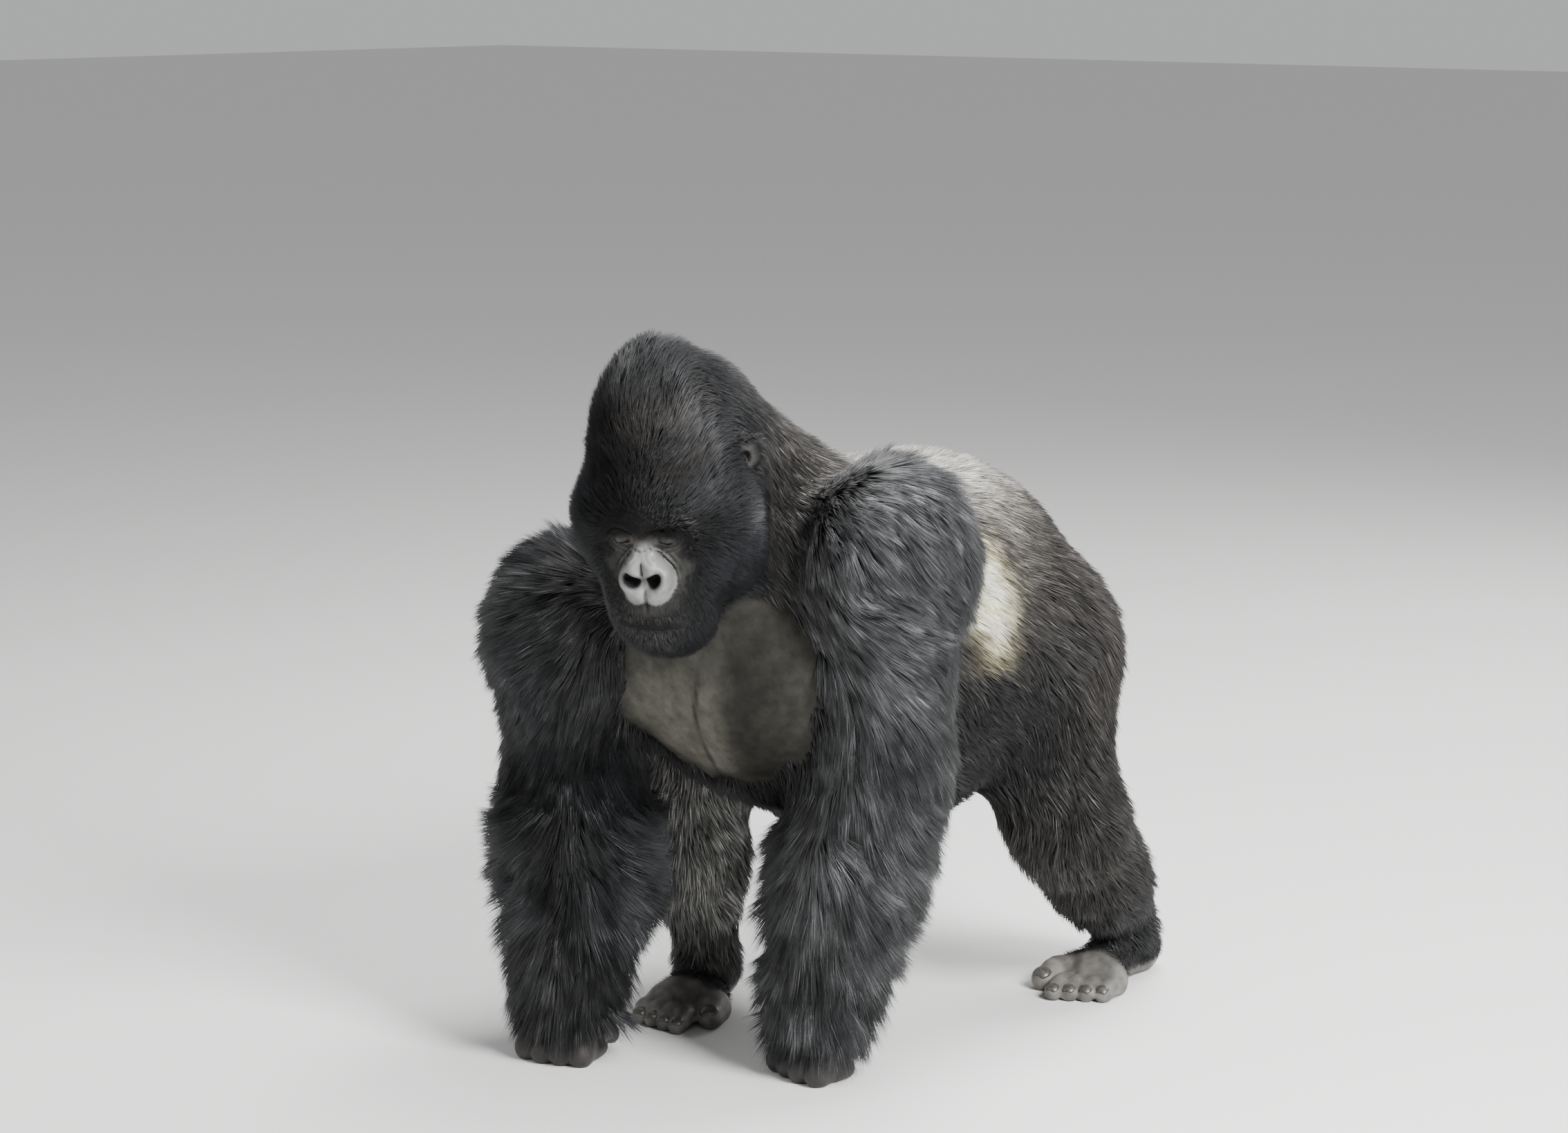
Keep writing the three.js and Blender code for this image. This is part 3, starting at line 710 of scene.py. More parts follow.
def markings(p, normal, near):  # the colour of the coat, and the share of silver hairs in it
    colour = np.tile(tones["black"], (len(p), 1))
    share = np.full(len(p), 0.025)

    def paint(tone, amount, silver):
        nonlocal colour, share
        amount = np.clip(amount, 0, 1)
        colour = mix(colour, tones[tone], amount[:, None])
        share = mix(share, silver, amount)
    x, y, z = p.T
    waves = 0.6 * ripple(p, 0.16, 5)
    high, rear = z + 0.03 * waves, y + 0.04 * waves
    trunk, skull = near["trunk"], near["head"]
    paint("flank", trunk, 0.02)
    paint("napeGreyAndTopLight", trunk * smooth(high, 0.7, 0.88) * smooth(-y, -0.06, 0.08), 0.14)
    paint("side", trunk * smooth(high, 0.56, 0.74) * smooth(rear, -0.16, 0.02), 0.25)
    paint("saddle", trunk * smooth(high, 0.78, 0.93) * smooth(rear, -0.16, 0.02), 0.4)
    # the cream patch: partly the silver hair's own colour, partly painted sunlight
    ragged = 0.006 * ripple(p, 0.1, 23) + 0.005 * ripple(p, 0.03, 24)
    patch = trunk * 1.25 * bump(y - 0.082 - 0.15 * (z - 0.7) + ragged, 0.04) * smooth(z + ragged, 0.59, 0.71)
    paint("cream", patch * smooth(-z + ragged, -0.9, -0.7) * smooth(np.abs(x), 0.18, 0.23), 0.5)
    paint("rump", trunk * smooth(y + 0.03 * waves, 0.24, 0.38) * smooth(-z, -0.95, -0.72), 0.1)
    for name, limb in limbs.items():
        leg, arm = near[name + "Leg"], near[name + "Arm"]
        down = alongLimb(p, limb, legJoints)
        paint("rump", leg * smooth(-down, -1.1, -0.3) * smooth(y, 0.16, 0.34) * 0.9, 0.08)
        paint("flank", leg * smooth(-y, -0.22, -0.1) * smooth(-down, -0.8, -0.4), 0.0)
        if name == "right":
            paint("grizzle", leg * smooth(down, 0.45, 0.8) * smooth(-normal[:, 1], -0.6, 0.4), 0.25)
        else:
            paint("brown", leg * bump(down - 1.15, 0.4) * 0.8, 0.08)
        # painted light and shade on the arms: lighter on top, the left arm lighter and with more pale hairs
        # on its side facing the key light, the right arm darker round its middle, and each arm darker on its
        # side away from the key light
        skyLitTop = arm * smooth(normal[:, 2], 0.2, 0.9)
        paint("napeGreyAndTopLight", skyLitTop * 0.12, 0.06)
        if name == "left":
            paint("arm", arm * smooth(normal[:, 0], -0.5, 0.3) * 0.8, 0.06)
        else:
            paint("arm", skyLitTop * 0.5, 0.03)
            paint("skull", arm * smooth(-z, -0.62, -0.52) * smooth(z, 0.25, 0.4) * 0.8, 0.01)
        paint("skull", arm * smooth(-normal[:, 0], -0.3, 0.6) * 0.6, 0.02)
    q = toHead(p)
    x, y, z = q.T
    side = np.abs(x)
    upFace = skull * smooth(-y, 0.02, 0.08)
    streaks = ripple(q * np.array((1, 0.8, 1)), 0.085, 9)
    paint("skull", skull, 0.0)
    paint("nearBlackAndShade", skull * smooth(z, 0.12, 0.2) * 0.85, 0.0)
    paint("crownBrownAndHighlight", skull * smooth(z, 0.11, 0.15) * smooth(streaks, -0.5, 0.9) * 0.9, 0.01)
    paint("napeGreyAndTopLight", skull * smooth(y, 0.06, 0.15) * smooth(z, -0.02, 0.08) * 0.6, 0.08)
    # painted highlight and shade on the forehead: a lighter band high up, a dark band over the brow ridge and
    # a dark patch above them
    paint("crownBrownAndHighlight", bump(z - 0.104, 0.014) * upFace, 0.01)
    paint("nearBlackAndShade", bump(z - 0.056, 0.034) * upFace, 0.0)
    paint("fuzz", smooth(-np.hypot(side / 0.058, (z + 0.088) / 0.06), -1.2, -0.5) * upFace * 0.8, 0.02)
    paint("nearBlackAndShade", bump(np.hypot(side * 0.6, z - 0.118), 0.024) * upFace * 0.8, 0.0)
    return colour, share


def skinColours(p, normal, near, bare, chest, ears):  # with the gloss of the skin as the fourth value
    coatColour, share = markings(p, normal, near)
    colour = mix(coatColour, tones["silver"], 0.5 * share[:, None])
    colour = colour * (0.5 + 0.4 * colour[:, :1].clip(0, 1))

    def paint(tone, amount):
        nonlocal colour
        colour = mix(colour, tones[tone], np.clip(amount, 0, 1)[:, None])
    q = toHead(p)
    x, y, z = q.T
    side = np.abs(x)
    front = smooth(-y, 0.08, 0.11) * near["head"]
    paint("faceSkin", near["head"] * smooth(-y, 0.07, 0.1))
    paint("muzzleSkin", front * smooth(-oval(side / 0.06, (z + 0.042) / 0.038), -1.2, -0.8) * 0.8)
    rim = oval(side - 0.031, (z - 0.012) * 1.1)
    paint("eyeSkin", front * smooth(-rim, -0.032, -0.016) * smooth(bare, 0.2, 0.6))
    paint("eyeSkin", front * bump(x, 0.016) * smooth(z, -0.01, 0.002) * smooth(-z, -0.036, -0.022))
    lids = oval((side - face["eyeApart"]) / 1.5, z - face["eyeHeight"] + face["slitDrop"])
    paint("faceSkin", front * bump(lids, 0.0065) * 0.8)
    # the pad of the nose with its nostrils, and the folds beside it, with painted highlight and shade
    gloss = smooth(-nosePad(q, 0.001), -0.0032, 0.0) * (y < -0.125)
    inside, folds = nostril(q), nosePad(q)
    outward = smooth(side, 0.012, 0.02) * smooth(z, -0.044, -0.028) * front
    # painted highlight: the whole pad painted light grey for the gloss on its dark skin
    paint("noseHighlight", gloss)
    # painted shade: the pad darker towards its sides, its lower edge and its rim
    paint("wing", gloss * smooth(side + 0.2 * z, 0.014, 0.034) * 0.65)
    paint("padEdgeShade", gloss * smooth(-z, 0.05, 0.066) * 0.5)
    paint("padEdgeShade", gloss * smooth(folds, -0.006, 0.0) * 0.5)
    # painted shade round the nostrils and on their walls
    paint("nostrilRimShade", gloss * smooth(-inside, -0.0085, 0.0) * smooth(z, -0.048, -0.034) * 0.85)
    paint("nostrilWallShade", gloss * smooth(-inside, -0.004, 0.0) * 0.7)
    # painted light on the ridges of the folds beside the nose
    paint("innerRidgeLight", outward * bump(folds - 0.0062, 0.003) * smooth(-z, -0.026, -0.01) * 0.8)
    paint("outerRidgeLight", outward * bump(folds - 0.0135, 0.0034) * smooth(-z, -0.022, 0.0) * 0.8)
    # painted shade at the top of the pad
    paint("padEdgeShade", gloss * smooth(z, -0.014, 0.004) * 0.5)
    paint("byNose", front * besideWings(side, z, -1.6, -0.2))
    # painted shade in the grooves of the folds beside the nose
    paint("nearBlackAndShade", outward * (bump(folds - 0.0028, 0.0016) + 0.8 * bump(folds - 0.0098, 0.0016)) * 0.85)
    # painted highlight along the bridge of the nose
    paint("noseHighlight", front * bump(x, 0.014) * smooth(z, -0.008, 0.004) * smooth(-z, -0.03, -0.012) * 0.7)
    # painted shade: the inside of the nostrils near black
    paint("nostrilHoleShade", smooth(-inside, -0.003, -0.0005) * (y < -0.13))
    # painted shade: a dark line between the nostrils
    paint("faceSkin", front * bump(side, 0.0012) * smooth(z, -0.044, -0.032) * (z < 0) * 0.7)
    # painted shade along the crease of the mouth
    paint("lips", bump(z - mouthLine(x), 0.0022) * smooth(-side, -0.06, -0.046) * (y < -0.115))
    # the breast, the ears, the hands and the feet
    ring, left = onBreast(p)
    paint("chestSkin", chest * (1 - 0.25 * smooth(ripple(p, 0.06, 17), -0.2, 1.0)))
    # painted shade: the half of the breast beside the left arm darker, and its top under the chin
    shaded = np.maximum(0.85 * smooth(left, -0.02, 0.05), 0.7 * smooth(p[:, 2], 0.58, 0.72))
    paint("breastShade", chest * shaded)
    paint("nearBlackAndShade", chest * bump(left + 0.02 - 0.012 * ripple(p, 0.2, 3), 0.004) * smooth(-p[:, 2], -0.66, -0.6)
          * 0.7)
    paint("nearBlackAndShade", chest * smooth(ring, 0.86, 1.0) * 0.6)
    paint("earSkin", ears)
    for s in (1, -1):
        _, across, up = onEar(q, s).T
        # painted highlight along the ear's inner ridge, and painted shade in its hollow
        litRidge = np.hypot(across + 0.004, 0.7 * up) - 0.0125
        paint("eyeSkin", ears * bump(litRidge, 0.004) * smooth(across, -0.01, 0.002) * 0.9)
        paint("earHollowShade", ears * smooth(-np.hypot(across + 0.0075, 0.72 * (up + 0.002)), -0.012, -0.0085))
    for name in limbs:
        paint("handSkin", near[name + "Hand"] * bare)
        paint("footSkin", near[name + "Foot"] * bare * (0.75 + 0.25 * ripple(p, 0.03, 21)))
    shine = np.maximum.reduce([
        gloss * smooth(inside, -0.001, 0.006), 0.7 * (front * bump(rim, 0.024)), 0.4 * ears, 0.03 * chest,
        0.45 * bare * (p[:, 2] < 0.2)])
    return np.concatenate([np.clip(colour, 0, 1), shine[:, None]], 1)


def bone(limb, start, end):  # the direction from one joint to another
    return unit(np.array(limb[end]) - np.array(limb[start]))


def lieOf(p, normal, near):  # the way the hair runs, its length, its depth, its lift and how far it strays
    x, y, z = normal.T
    forward = np.clip(-y, 0, 1)
    aside = p[:, 0] - 0.03
    outward = np.sign(aside) * smooth(np.abs(aside), 0.05, 0.16) * smooth(p[:, 2], 0.66, 0.78)
    outward *= smooth(-p[:, 1], -0.05, 0.1)
    flow = near["trunk"][:, None] * np.stack(
        [x * 0.45 + 1.1 * outward, 0.95 - 0.9 * forward - 0.6 * np.abs(outward),
         -0.35 - 0.6 * np.abs(x) - 0.7 * forward], 1)
    q = toHead(p)
    spread = unit(q - np.array((0, -0.172, 0.01)))
    spread[:, 2] -= 0.55 * smooth(-q[:, 2], -0.05, 0.04)
    back = np.stack([np.sign(q[:, 0]) * 0.2, np.full(len(p), 0.85), np.full(len(p), -0.5)], 1)
    turning = smooth(q[:, 1] + 0.25 * np.abs(q[:, 0]), -0.06, 0.06) * smooth(q[:, 2], -0.05, 0.03)
    flow += near["head"][:, None] * (mix(spread, back, turning[:, None]) @ head["axes"].T)
    habit = [near["trunk"] * coat["trunk"][k] + near["head"] * coat["head"][k] for k in range(4)]
    for name, limb in limbs.items():
        foot = near[name + "Foot"]
        arm, leg = near[name + "Arm"] + near[name + "Hand"], near[name + "Leg"] + foot
        down = alongLimb(p, limb, armJoints)
        low, end, top = smooth(down, 0.75, 1.25), smooth(down, 1.55, 1.95), smooth(-down, -0.9, -0.1)
        way = np.tile(bone(limb, "shoulder", "elbow"), (len(p), 1))
        way = mix(way, bone(limb, "elbow", "wrist"), low[:, None]) * (1 - 0.42 * low + 0.35 * end)[:, None]
        way = way + unit(np.array(limb["sweep"])) * (0.55 + 0.55 * low - 0.55 * end)[:, None]
        flow += arm[:, None] * mix(way, np.array(limb["mantle"]) * 1.3, top[:, None])
        lower = smooth(alongLimb(p, limb, legJoints), 0.8, 1.2)
        way = np.tile(bone(limb, "hip", "knee") + (0, 0.35, -0.3), (len(p), 1))
        way = mix(way, bone(limb, "knee", "ankle") + (0, 0.25, -0.2), lower[:, None])
        toes = turned(limb["footTurn"]) @ np.array((0, -1, -0.2))
        flow += leg[:, None] * mix(way, toes, smooth(foot, 0.5, 0.9)[:, None])
        for k in range(4):
            habit[k] += arm * mix(coat["arm"][k], coat["forearm"][k], low)
            habit[k] += leg * mix(coat["thigh"][k], coat["shin"][k], lower)
        for k in (0, 1):
            habit[k] *= 1 - 0.6 * smooth(foot, 0.4, 0.9)
    x, y, z = q.T
    muzzle = smooth(oval(x / 0.068, (z + 0.04) / 0.105), 0.75, 1.45)
    muzzle = near["head"] * smooth(-y, 0.05, 0.1) * (1 - muzzle)
    fromEar = np.sqrt((np.abs(x) - 0.112) ** 2 + (y + 0.008) ** 2 + (z - 0.058) ** 2)
    byEar = near["head"] * bump(fromEar, 0.032)
    for k, less in ((0, 0.6), (1, 0.62)):
        habit[k] *= (1 - less * muzzle) * (1 - 0.65 * byEar)
        habit[k] *= 1 + 0.3 * near["head"] * smooth(z, 0.06, 0.16)
    habit[2] *= 1 - 0.5 * muzzle
    return flow, *habit


print("body described")
points, quads = skinMesh()
normals = unit(slope(points, True, 0.0012))
near = survey(points)
bare, chest, ears = bareness(points, normals, near)
colours = skinColours(points, normals, near, bare, chest, ears)
skinPiece = finishMesh("skin", points, quads.ravel(), np.full(len(quads), 4), colours, "skinTone")
print("skin made:", len(points), "points,", 2 * len(quads), "triangles")


# ---- the coat: tufts rooted all over the skin ----

pelt = {  # tufts, width at the base, slot, tufts in a lock, how closely they lean, streaking
    "coatHead": (49000, 0.0016, "black_hair", 8, 0.35, 0.7),
    "coatNeck": (27000, 0.0021, "brown_hair", 9, 0.42, 0.8),
    "coatBack": (34000, 0.0022, "saddle_hair", 8, 0.4, 0.7),
    "coatBelly": (16000, 0.003, "saddle_hair", 8, 0.5, 0.8),
    "coatRump": (16000, 0.0026, "brown_hair", 8, 0.45, 0.7),
    "coatUpperArmLeft": (49000, 0.0019, "black_hair", 24, 0.62, 1.2),
    "coatForearmLeft": (48000, 0.0019, "black_hair", 24, 0.62, 1.2),
    "coatUpperArmRight": (44000, 0.0019, "black_hair", 24, 0.62, 1.2),
    "coatForearmRight": (46000, 0.0019, "black_hair", 24, 0.62, 1.2),
    "coatLegLeft": (22000, 0.0025, "brown_hair", 10, 0.45, 0.7),
    "coatLegRight": (26000, 0.0021, "brown_hair", 10, 0.45, 0.65),
}
growth = {
    "seed": 41, "widthSeed": 90,
    "bare": (0.3, 0.6),  # how bare the skin is where tufts begin to thin out and where they end
    "clear": 0.012,  # height over the ground below which nothing grows
    "crowding": 1.6,  # how many more tufts stand round the face
    "sunk": 0.0015,  # how deep a tuft starts under the skin
    "steps": 3, "sag": 0.1, "flatten": 0.25, "hug": 0.9,  # how a hair goes from its root to its tip
    "lean": (0.35, 0.75, 1.0),  # how far it has come into its lock after each step
    "lockReach": 0.016, "loose": 0.07,  # share of tufts that hardly join a lock
    "lightest": 0.95,
}


def pieceOf(p, near):
    nearest = np.array(list(near))[np.argmax(np.stack(list(near.values()), 1), 1)]
    label = np.full(len(p), "coatBack", dtype="<U20")
    trunk = nearest == "trunk"
    label[trunk & (p[:, 2] < 0.62)] = "coatBelly"
    label[trunk & (p[:, 1] > 0.3)] = "coatRump"
    label[trunk & (p[:, 1] < -0.08) & (p[:, 2] > 0.62)] = "coatNeck"
    label[nearest == "head"] = "coatHead"
    for name, limb in limbs.items():
        end = name.capitalize()
        arm = (nearest == name + "Arm") | (nearest == name + "Hand")
        below = alongLimb(p, limb, armJoints) > 0.92
        label[arm & ~below] = "coatUpperArm" + end
        label[arm & below] = "coatForearm" + end
        label[(nearest == name + "Leg") | (nearest == name + "Foot")] = "coatLeg" + end
    return label


def unwrap(name, p):  # round the piece's own bone and along it
    ends = {
        "coatHead": (fromHead(0, 0.02, -0.12), fromHead(0, 0.02, 0.22)),
        "coatNeck": ((0.01, -0.1, 0.62), fromHead(0, 0.08, 0.1)),
        "coatBack": ((0, -0.12, 0.6), (0, 0.36, 0.6)),
        "coatBelly": ((0, -0.36, 0.66), (0, 0.45, 0.66)),
        "coatRump": ((0, 0.2, 0.62), (0, 0.56, 0.55)),
    }
    for side, limb in limbs.items():
        side = side.capitalize()
        ends["coatLeg" + side] = (limb["hip"], limb["ankle"])
        ends["coatUpperArm" + side] = (limb["shoulder"], limb["elbow"])
        ends["coatForearm" + side] = (limb["elbow"], limb["wrist"])
    a, b = (np.array(v, float) for v in ends[name])
    axis = unit(b - a)
    across = unit(np.cross(axis, (0, 1, 0) if abs(axis[2]) > 0.7 else (0, 0, 1)))
    up = np.cross(axis, across)
    q = p - a
    turn = np.arctan2(q @ up, q @ across) / (2 * math.pi) + 0.5
    along = (q @ axis) / np.linalg.norm(b - a)
    along = (along - along.min()) / (np.ptp(along) + 1e-9)
    return np.stack([turn, along], 1) * 0.99 + 0.004


def layHairs(root, normal, flow, length, depth, lift):  # each one's root, two bends and tip
    path = [root - normal * growth["sunk"]]
    way = unit(flow * np.cos(lift)[:, None] + normal * np.sin(lift)[:, None])
    stride = (length / growth["steps"])[:, None]
    at = root.copy()
    for k in range(growth["steps"]):
        at = at + way * stride
        d = body(at, False)
        up = unit(slope(at, False, 0.002))
        most = depth * (0.75 + 0.25 * k)
        least = np.minimum(0.0025 + 0.0015 * k, most)
        at = at + up * (np.clip(d, least, most) - d)[:, None] * growth["hug"]
        path.append(at)
        way = unit(at - path[-2] + np.array((0, 0, -growth["sag"])) * stride)
        way = unit(way - growth["flatten"] * dot(way, up)[:, None] * up)
    return np.stack(path, 1)


def growCoat():
    chance = np.random.default_rng(growth["seed"])
    counts, _, _, gathers, clings, streaks = zip(*pelt.values())
    a, b, c, d = (points[quads[:, k]] for k in range(4))
    areas = np.linalg.norm(np.cross(c - a, d - b), axis=1) / 2
    middle = points[quads].mean(1)
    label = pieceOf(middle, {k: v[quads].mean(1) for k, v in near.items()})
    furry = (1 - smooth(bare[quads].mean(1), *growth["bare"])) * (middle[:, 2] > growth["clear"])
    chosen = []
    for name, count in zip(pelt, counts):
        share = np.where(label == name, areas * furry, 0)
        if name == "coatHead":
            share = share * (1 + growth["crowding"] * smooth(-toHead(middle)[:, 1], 0.03, 0.1))
        print(name, "covers", round(float(share.sum()), 3), "square metres")
        chosen.append(chance.choice(len(quads), size=count, p=share / share.sum()))
    chosen = np.concatenate(chosen)
    owner = np.repeat(np.arange(len(pelt)), counts)
    s, t = chance.random(len(chosen)), chance.random(len(chosen))
    weights = np.stack([(1 - s) * (1 - t), s * (1 - t), s * t, (1 - s) * t], 1)
    corners = quads[chosen]
    root = np.einsum("ij,ijk->ik", weights, points[corners])
    normal = unit(np.einsum("ij,ijk->ik", weights, normals[corners]))
    here = {k: dot(weights, v[corners]) for k, v in near.items()}

    def scatter():
        return chance.normal(size=len(root))
    flow, length, depth, lift, stray = lieOf(root, normal, here)
    flow = unit(flow - dot(flow, normal)[:, None] * normal)
    veer = stray * (0.22 * ripple(root, 0.17, 1) + 0.2 * ripple(root, 0.06, 2) + 0.15 * ripple(root, 0.024, 3)
                    + 0.09 * scatter())
    flow = unit(flow * np.cos(veer)[:, None] + np.cross(normal, flow) * np.sin(veer)[:, None])
    cross = np.cross(normal, flow)
    locks = ripple(root, 0.026, 4)
    length = length * (1 + 0.14 * ripple(root, 0.07, 6) + 0.18 * scatter()).clip(0.45, 1.5)
    length *= 1 - 0.55 * dot(weights, bare[corners])
    lift = np.radians(lift * (1 + 0.22 * stray * locks) + 4 * scatter()).clip(0.12, 1.1)
    depth = depth * (0.85 + 0.2 * stray * locks + 0.15 * scatter()).clip(0.25, 1.4)
    path = layHairs(root, normal, flow, length, depth, lift)

    # tufts that stand near one another lean together into locks
    first = np.cumsum((0, *counts[:-1]))
    leaders = np.concatenate([start + np.arange(count // gather)
                              for start, count, gather in zip(first, counts, gathers)])
    tree = KDTree(len(leaders))
    for j, spot in enumerate(root[leaders].tolist()):
        tree.insert(spot, j)
    tree.balance()
    found = [tree.find(spot)[1:] for spot in root.tolist()]
    lock = leaders[np.array([f[0] for f in found])]
    away = np.array([f[1] for f in found])
    cling = np.array(clings)[owner] * (0.65 + 0.35 * chance.random(len(root)))
    cling *= np.exp(-(away / growth["lockReach"]) ** 2) * np.where(
        chance.random(len(root)) < growth["loose"], 0.2, 1)
    for k, share in enumerate(growth["lean"], 1):
        path[:, k] = mix(path[:, k], path[lock, k], (cling * share)[:, None])
    path[:, :, 2] = np.maximum(path[:, :, 2], 0.002)

    base, share = markings(root, normal, here)
    # lighter and darker locks: partly the coat's own uneven tone, partly painted shade and highlight between
    # the locks
    lockTone = scatter()[lock]
    streak = 0.36 * scatter() + 0.34 * lockTone + 0.22 * ripple(root, 0.06, 13)
    streak *= np.array(streaks)[owner]
    base = base * np.exp(streak - 0.08)[:, None]
    pale = chance.random(len(root)) < share
    base[pale] = np.minimum(base[pale] * 2.0 + 0.05, growth["lightest"])
    print("hair laid")

    pieces = {}
    pattern = np.array((2, 1, 0, 0, 1, 3, 1, 2, 3, 2, 0, 3))  # three corners round the base and the tip
    level = np.array((0, 0, 0, 1.0))
    patch = 0.003 * np.stack([(0, 0.5, 1, 0), level], 1)
    for i, (name, (count, width, slot, *_)) in enumerate(pelt.items()):
        mine = owner == i
        wide = width * (0.65 + 0.7 * np.random.default_rng(growth["widthSeed"] + i).random(count))
        wide *= np.clip(length[mine] / 0.03, 0.4, 1.2)
        start, tip, sideways = path[mine, 0], path[mine, -1], cross[mine]
        upward = np.cross(unit(tip - start), sideways)
        verts = np.zeros((count, 4, 3))
        for k in range(3):
            angle = math.radians(90 + 120 * k)
            verts[:, k] = start + (wide * 0.5)[:, None] * (math.cos(angle) * sideways
                                                           + 0.6 * math.sin(angle) * upward)
        verts[:, 3] = tip
        pallor = 0.2 + 0.55 * base[mine].mean(1, keepdims=True).clip(0, 1)  # how light a tuft is at its root
        # darker roots and lighter tips: painted shade where the tufts cover one another, partly the hair's
        # own lighter tips
        shade = pallor + (1.5 - 0.55 * pallor) * level
        tint = np.clip(base[mine][:, None] * shade[:, :, None], 0, 1)
        tint = np.concatenate([tint, np.ones((count, 4, 1))], 2)
        loops = (pattern + 4 * np.arange(count)[:, None]).ravel()
        uv = (unwrap(name, root[mine])[:, None] + patch[pattern]).reshape(-1, 2)
        piece = finishMesh(name, verts.reshape(-1, 3), loops, np.full(4 * count, 3), tint.reshape(-1, 4),
                           "coatTone", uv)
        pieces[name] = (piece, slot)
        print(name, count, "tufts,", 4 * count, "triangles")
    return pieces


coatPieces = growCoat()


# ---- eyes ----

eye = {"radius": face["eyeRadius"], "cornea": 0.0008, "rings": 24, "sides": 36, "gazeDrop": 16}


def makeEye(name, s):
    centre = fromHead(s * face["eyeApart"], -face["eyeForward"], face["eyeHeight"])
    drop = math.radians(eye["gazeDrop"])
    gaze = head["axes"] @ unit(np.array((0, -math.cos(drop), -math.sin(drop))))
    left = unit(np.cross(gaze, (0, 0, 1)))
    up = np.cross(left, gaze)
    verts, ring = [], []
    for r in range(eye["rings"] + 1):
        a = math.pi * r / eye["rings"]  # the angle away from the gaze
        swell = eye["radius"] - 0.0002 + eye["cornea"] * math.exp(-(a / 0.42) ** 4) - 0.0006
        for k in range(eye["sides"]):
            b = 2 * math.pi * k / eye["sides"]
            verts.append(centre + swell * (math.cos(a) * gaze + math.sin(a) * (
                math.cos(b) * left + math.sin(b) * up)))
            ring.append(a)
            if r in (0, eye["rings"]):
                break
    faces = []
    count = eye["sides"]
    row = [0] + [1 + (r - 1) * count for r in range(1, eye["rings"])] + [1 + (eye["rings"] - 1) * count]
    for k in range(count):
        m = (k + 1) % count
        faces.append((0, 1 + k, 1 + m))
        for r in range(1, eye["rings"] - 1):
            faces.append((row[r] + k, row[r + 1] + k, row[r + 1] + m, row[r] + m))
        faces.append((row[-2] + m, row[-2] + k, row[-1]))
    piece = finishMesh(name, verts, np.concatenate(faces), [len(f) for f in faces])
    perPoint(piece.data, "fromPupil", "FLOAT", ring)
    return piece


# ---- nails on the toes and thumbs ----

nail = {"across": 52, "along": 36, "proud": 0.04, "deep": 0.17, "columns": 11, "rows": 9}


def nailPlate():  # one thin curved plate for a toe of radius 1: across is x, along is y, out is z
    verts, faces = [], []
    rows, columns = nail["rows"], nail["columns"]
    for level in (1 + nail["proud"], 1 - nail["deep"]):
        for v in np.linspace(-1, 1, rows):
            for u in np.linspace(-1, 1, columns):
                a = math.radians(nail["across"]) * u * math.sqrt(1 - 0.45 * v * v)
                b = math.radians(nail["along"]) * v
                verts.append((level * math.cos(b) * math.sin(a), level * math.sin(b),
                              level * math.cos(b) * math.cos(a)))
    under = rows * columns
    last = (rows - 1) * columns
    for i in range(rows - 1):
        for j in range(columns - 1):
            a = i * columns + j
            top = (a, a + 1, a + columns + 1, a + columns)
            faces += [top, tuple(under + k for k in reversed(top))]
        a, b = i * columns, i * columns + columns - 1
        faces.append((a, a + columns, under + a + columns, under + a))
        faces.append((b + columns, b, under + b, under + b + columns))
    for j in range(columns - 1):
        faces.append((j + 1, j, under + j, under + j + 1))
        faces.append((last + j, last + j + 1, under + last + j + 1, under + last + j))
    return finishMesh("nailPlate", verts, np.concatenate(faces), [len(f) for f in faces])


def nailSpots():  # the ends of the toes and thumbs: place, turn and radius
    spots = []
    for limb in limbs.values():
        side = limb["side"]
        big = (-side * 0.07, -0.16, 0.018 - limb["ankle"][2])
        ends = [("ankle", "footTurn", toeEnd(limb, i), (0, -0.8, -0.45), (0, -0.5, 0.87), 0.015)
                for i in range(4)]
        ends.append(("ankle", "footTurn", big, (-side * 0.2, -0.85, -0.4), (0, -0.45, 0.87), 0.0205))
        ends.append(("wrist", "handTurn", (-side * 0.086, -0.014, -0.106), (-side * 0.6, -0.2, -0.78),
                     (0, -1, 0.1), 0.014))
        for joint, turn, tip, along, out, radius in ends:
            axes = turned(limb[turn])
            along = unit(axes @ np.array(along, float))
            out = axes @ np.array(out, float)
            out = unit(out - (out @ along) * along)
            facing = Matrix(np.stack([np.cross(along, out), along, out], 1).tolist())
            spots.append((np.array(limb[joint]) + axes @ tip, tuple(facing.to_euler("XYZ")), radius))
    return spots


def feed(tree, made, **inputs):  # links the sockets it is given and sets the plain values
    for key, value in inputs.items():
        socket = made.inputs[key.replace("_", " ")]
        if isinstance(value, bpy.types.NodeSocket):
            tree.links.new(value, socket)
        else:
            socket.default_value = value
    return made


def node(tree, kind, setup=None, **inputs):
    made = tree.nodes.new(kind)
    for key, value in (setup or {}).items():
        setattr(made, key, value)
    return feed(tree, made, **inputs)


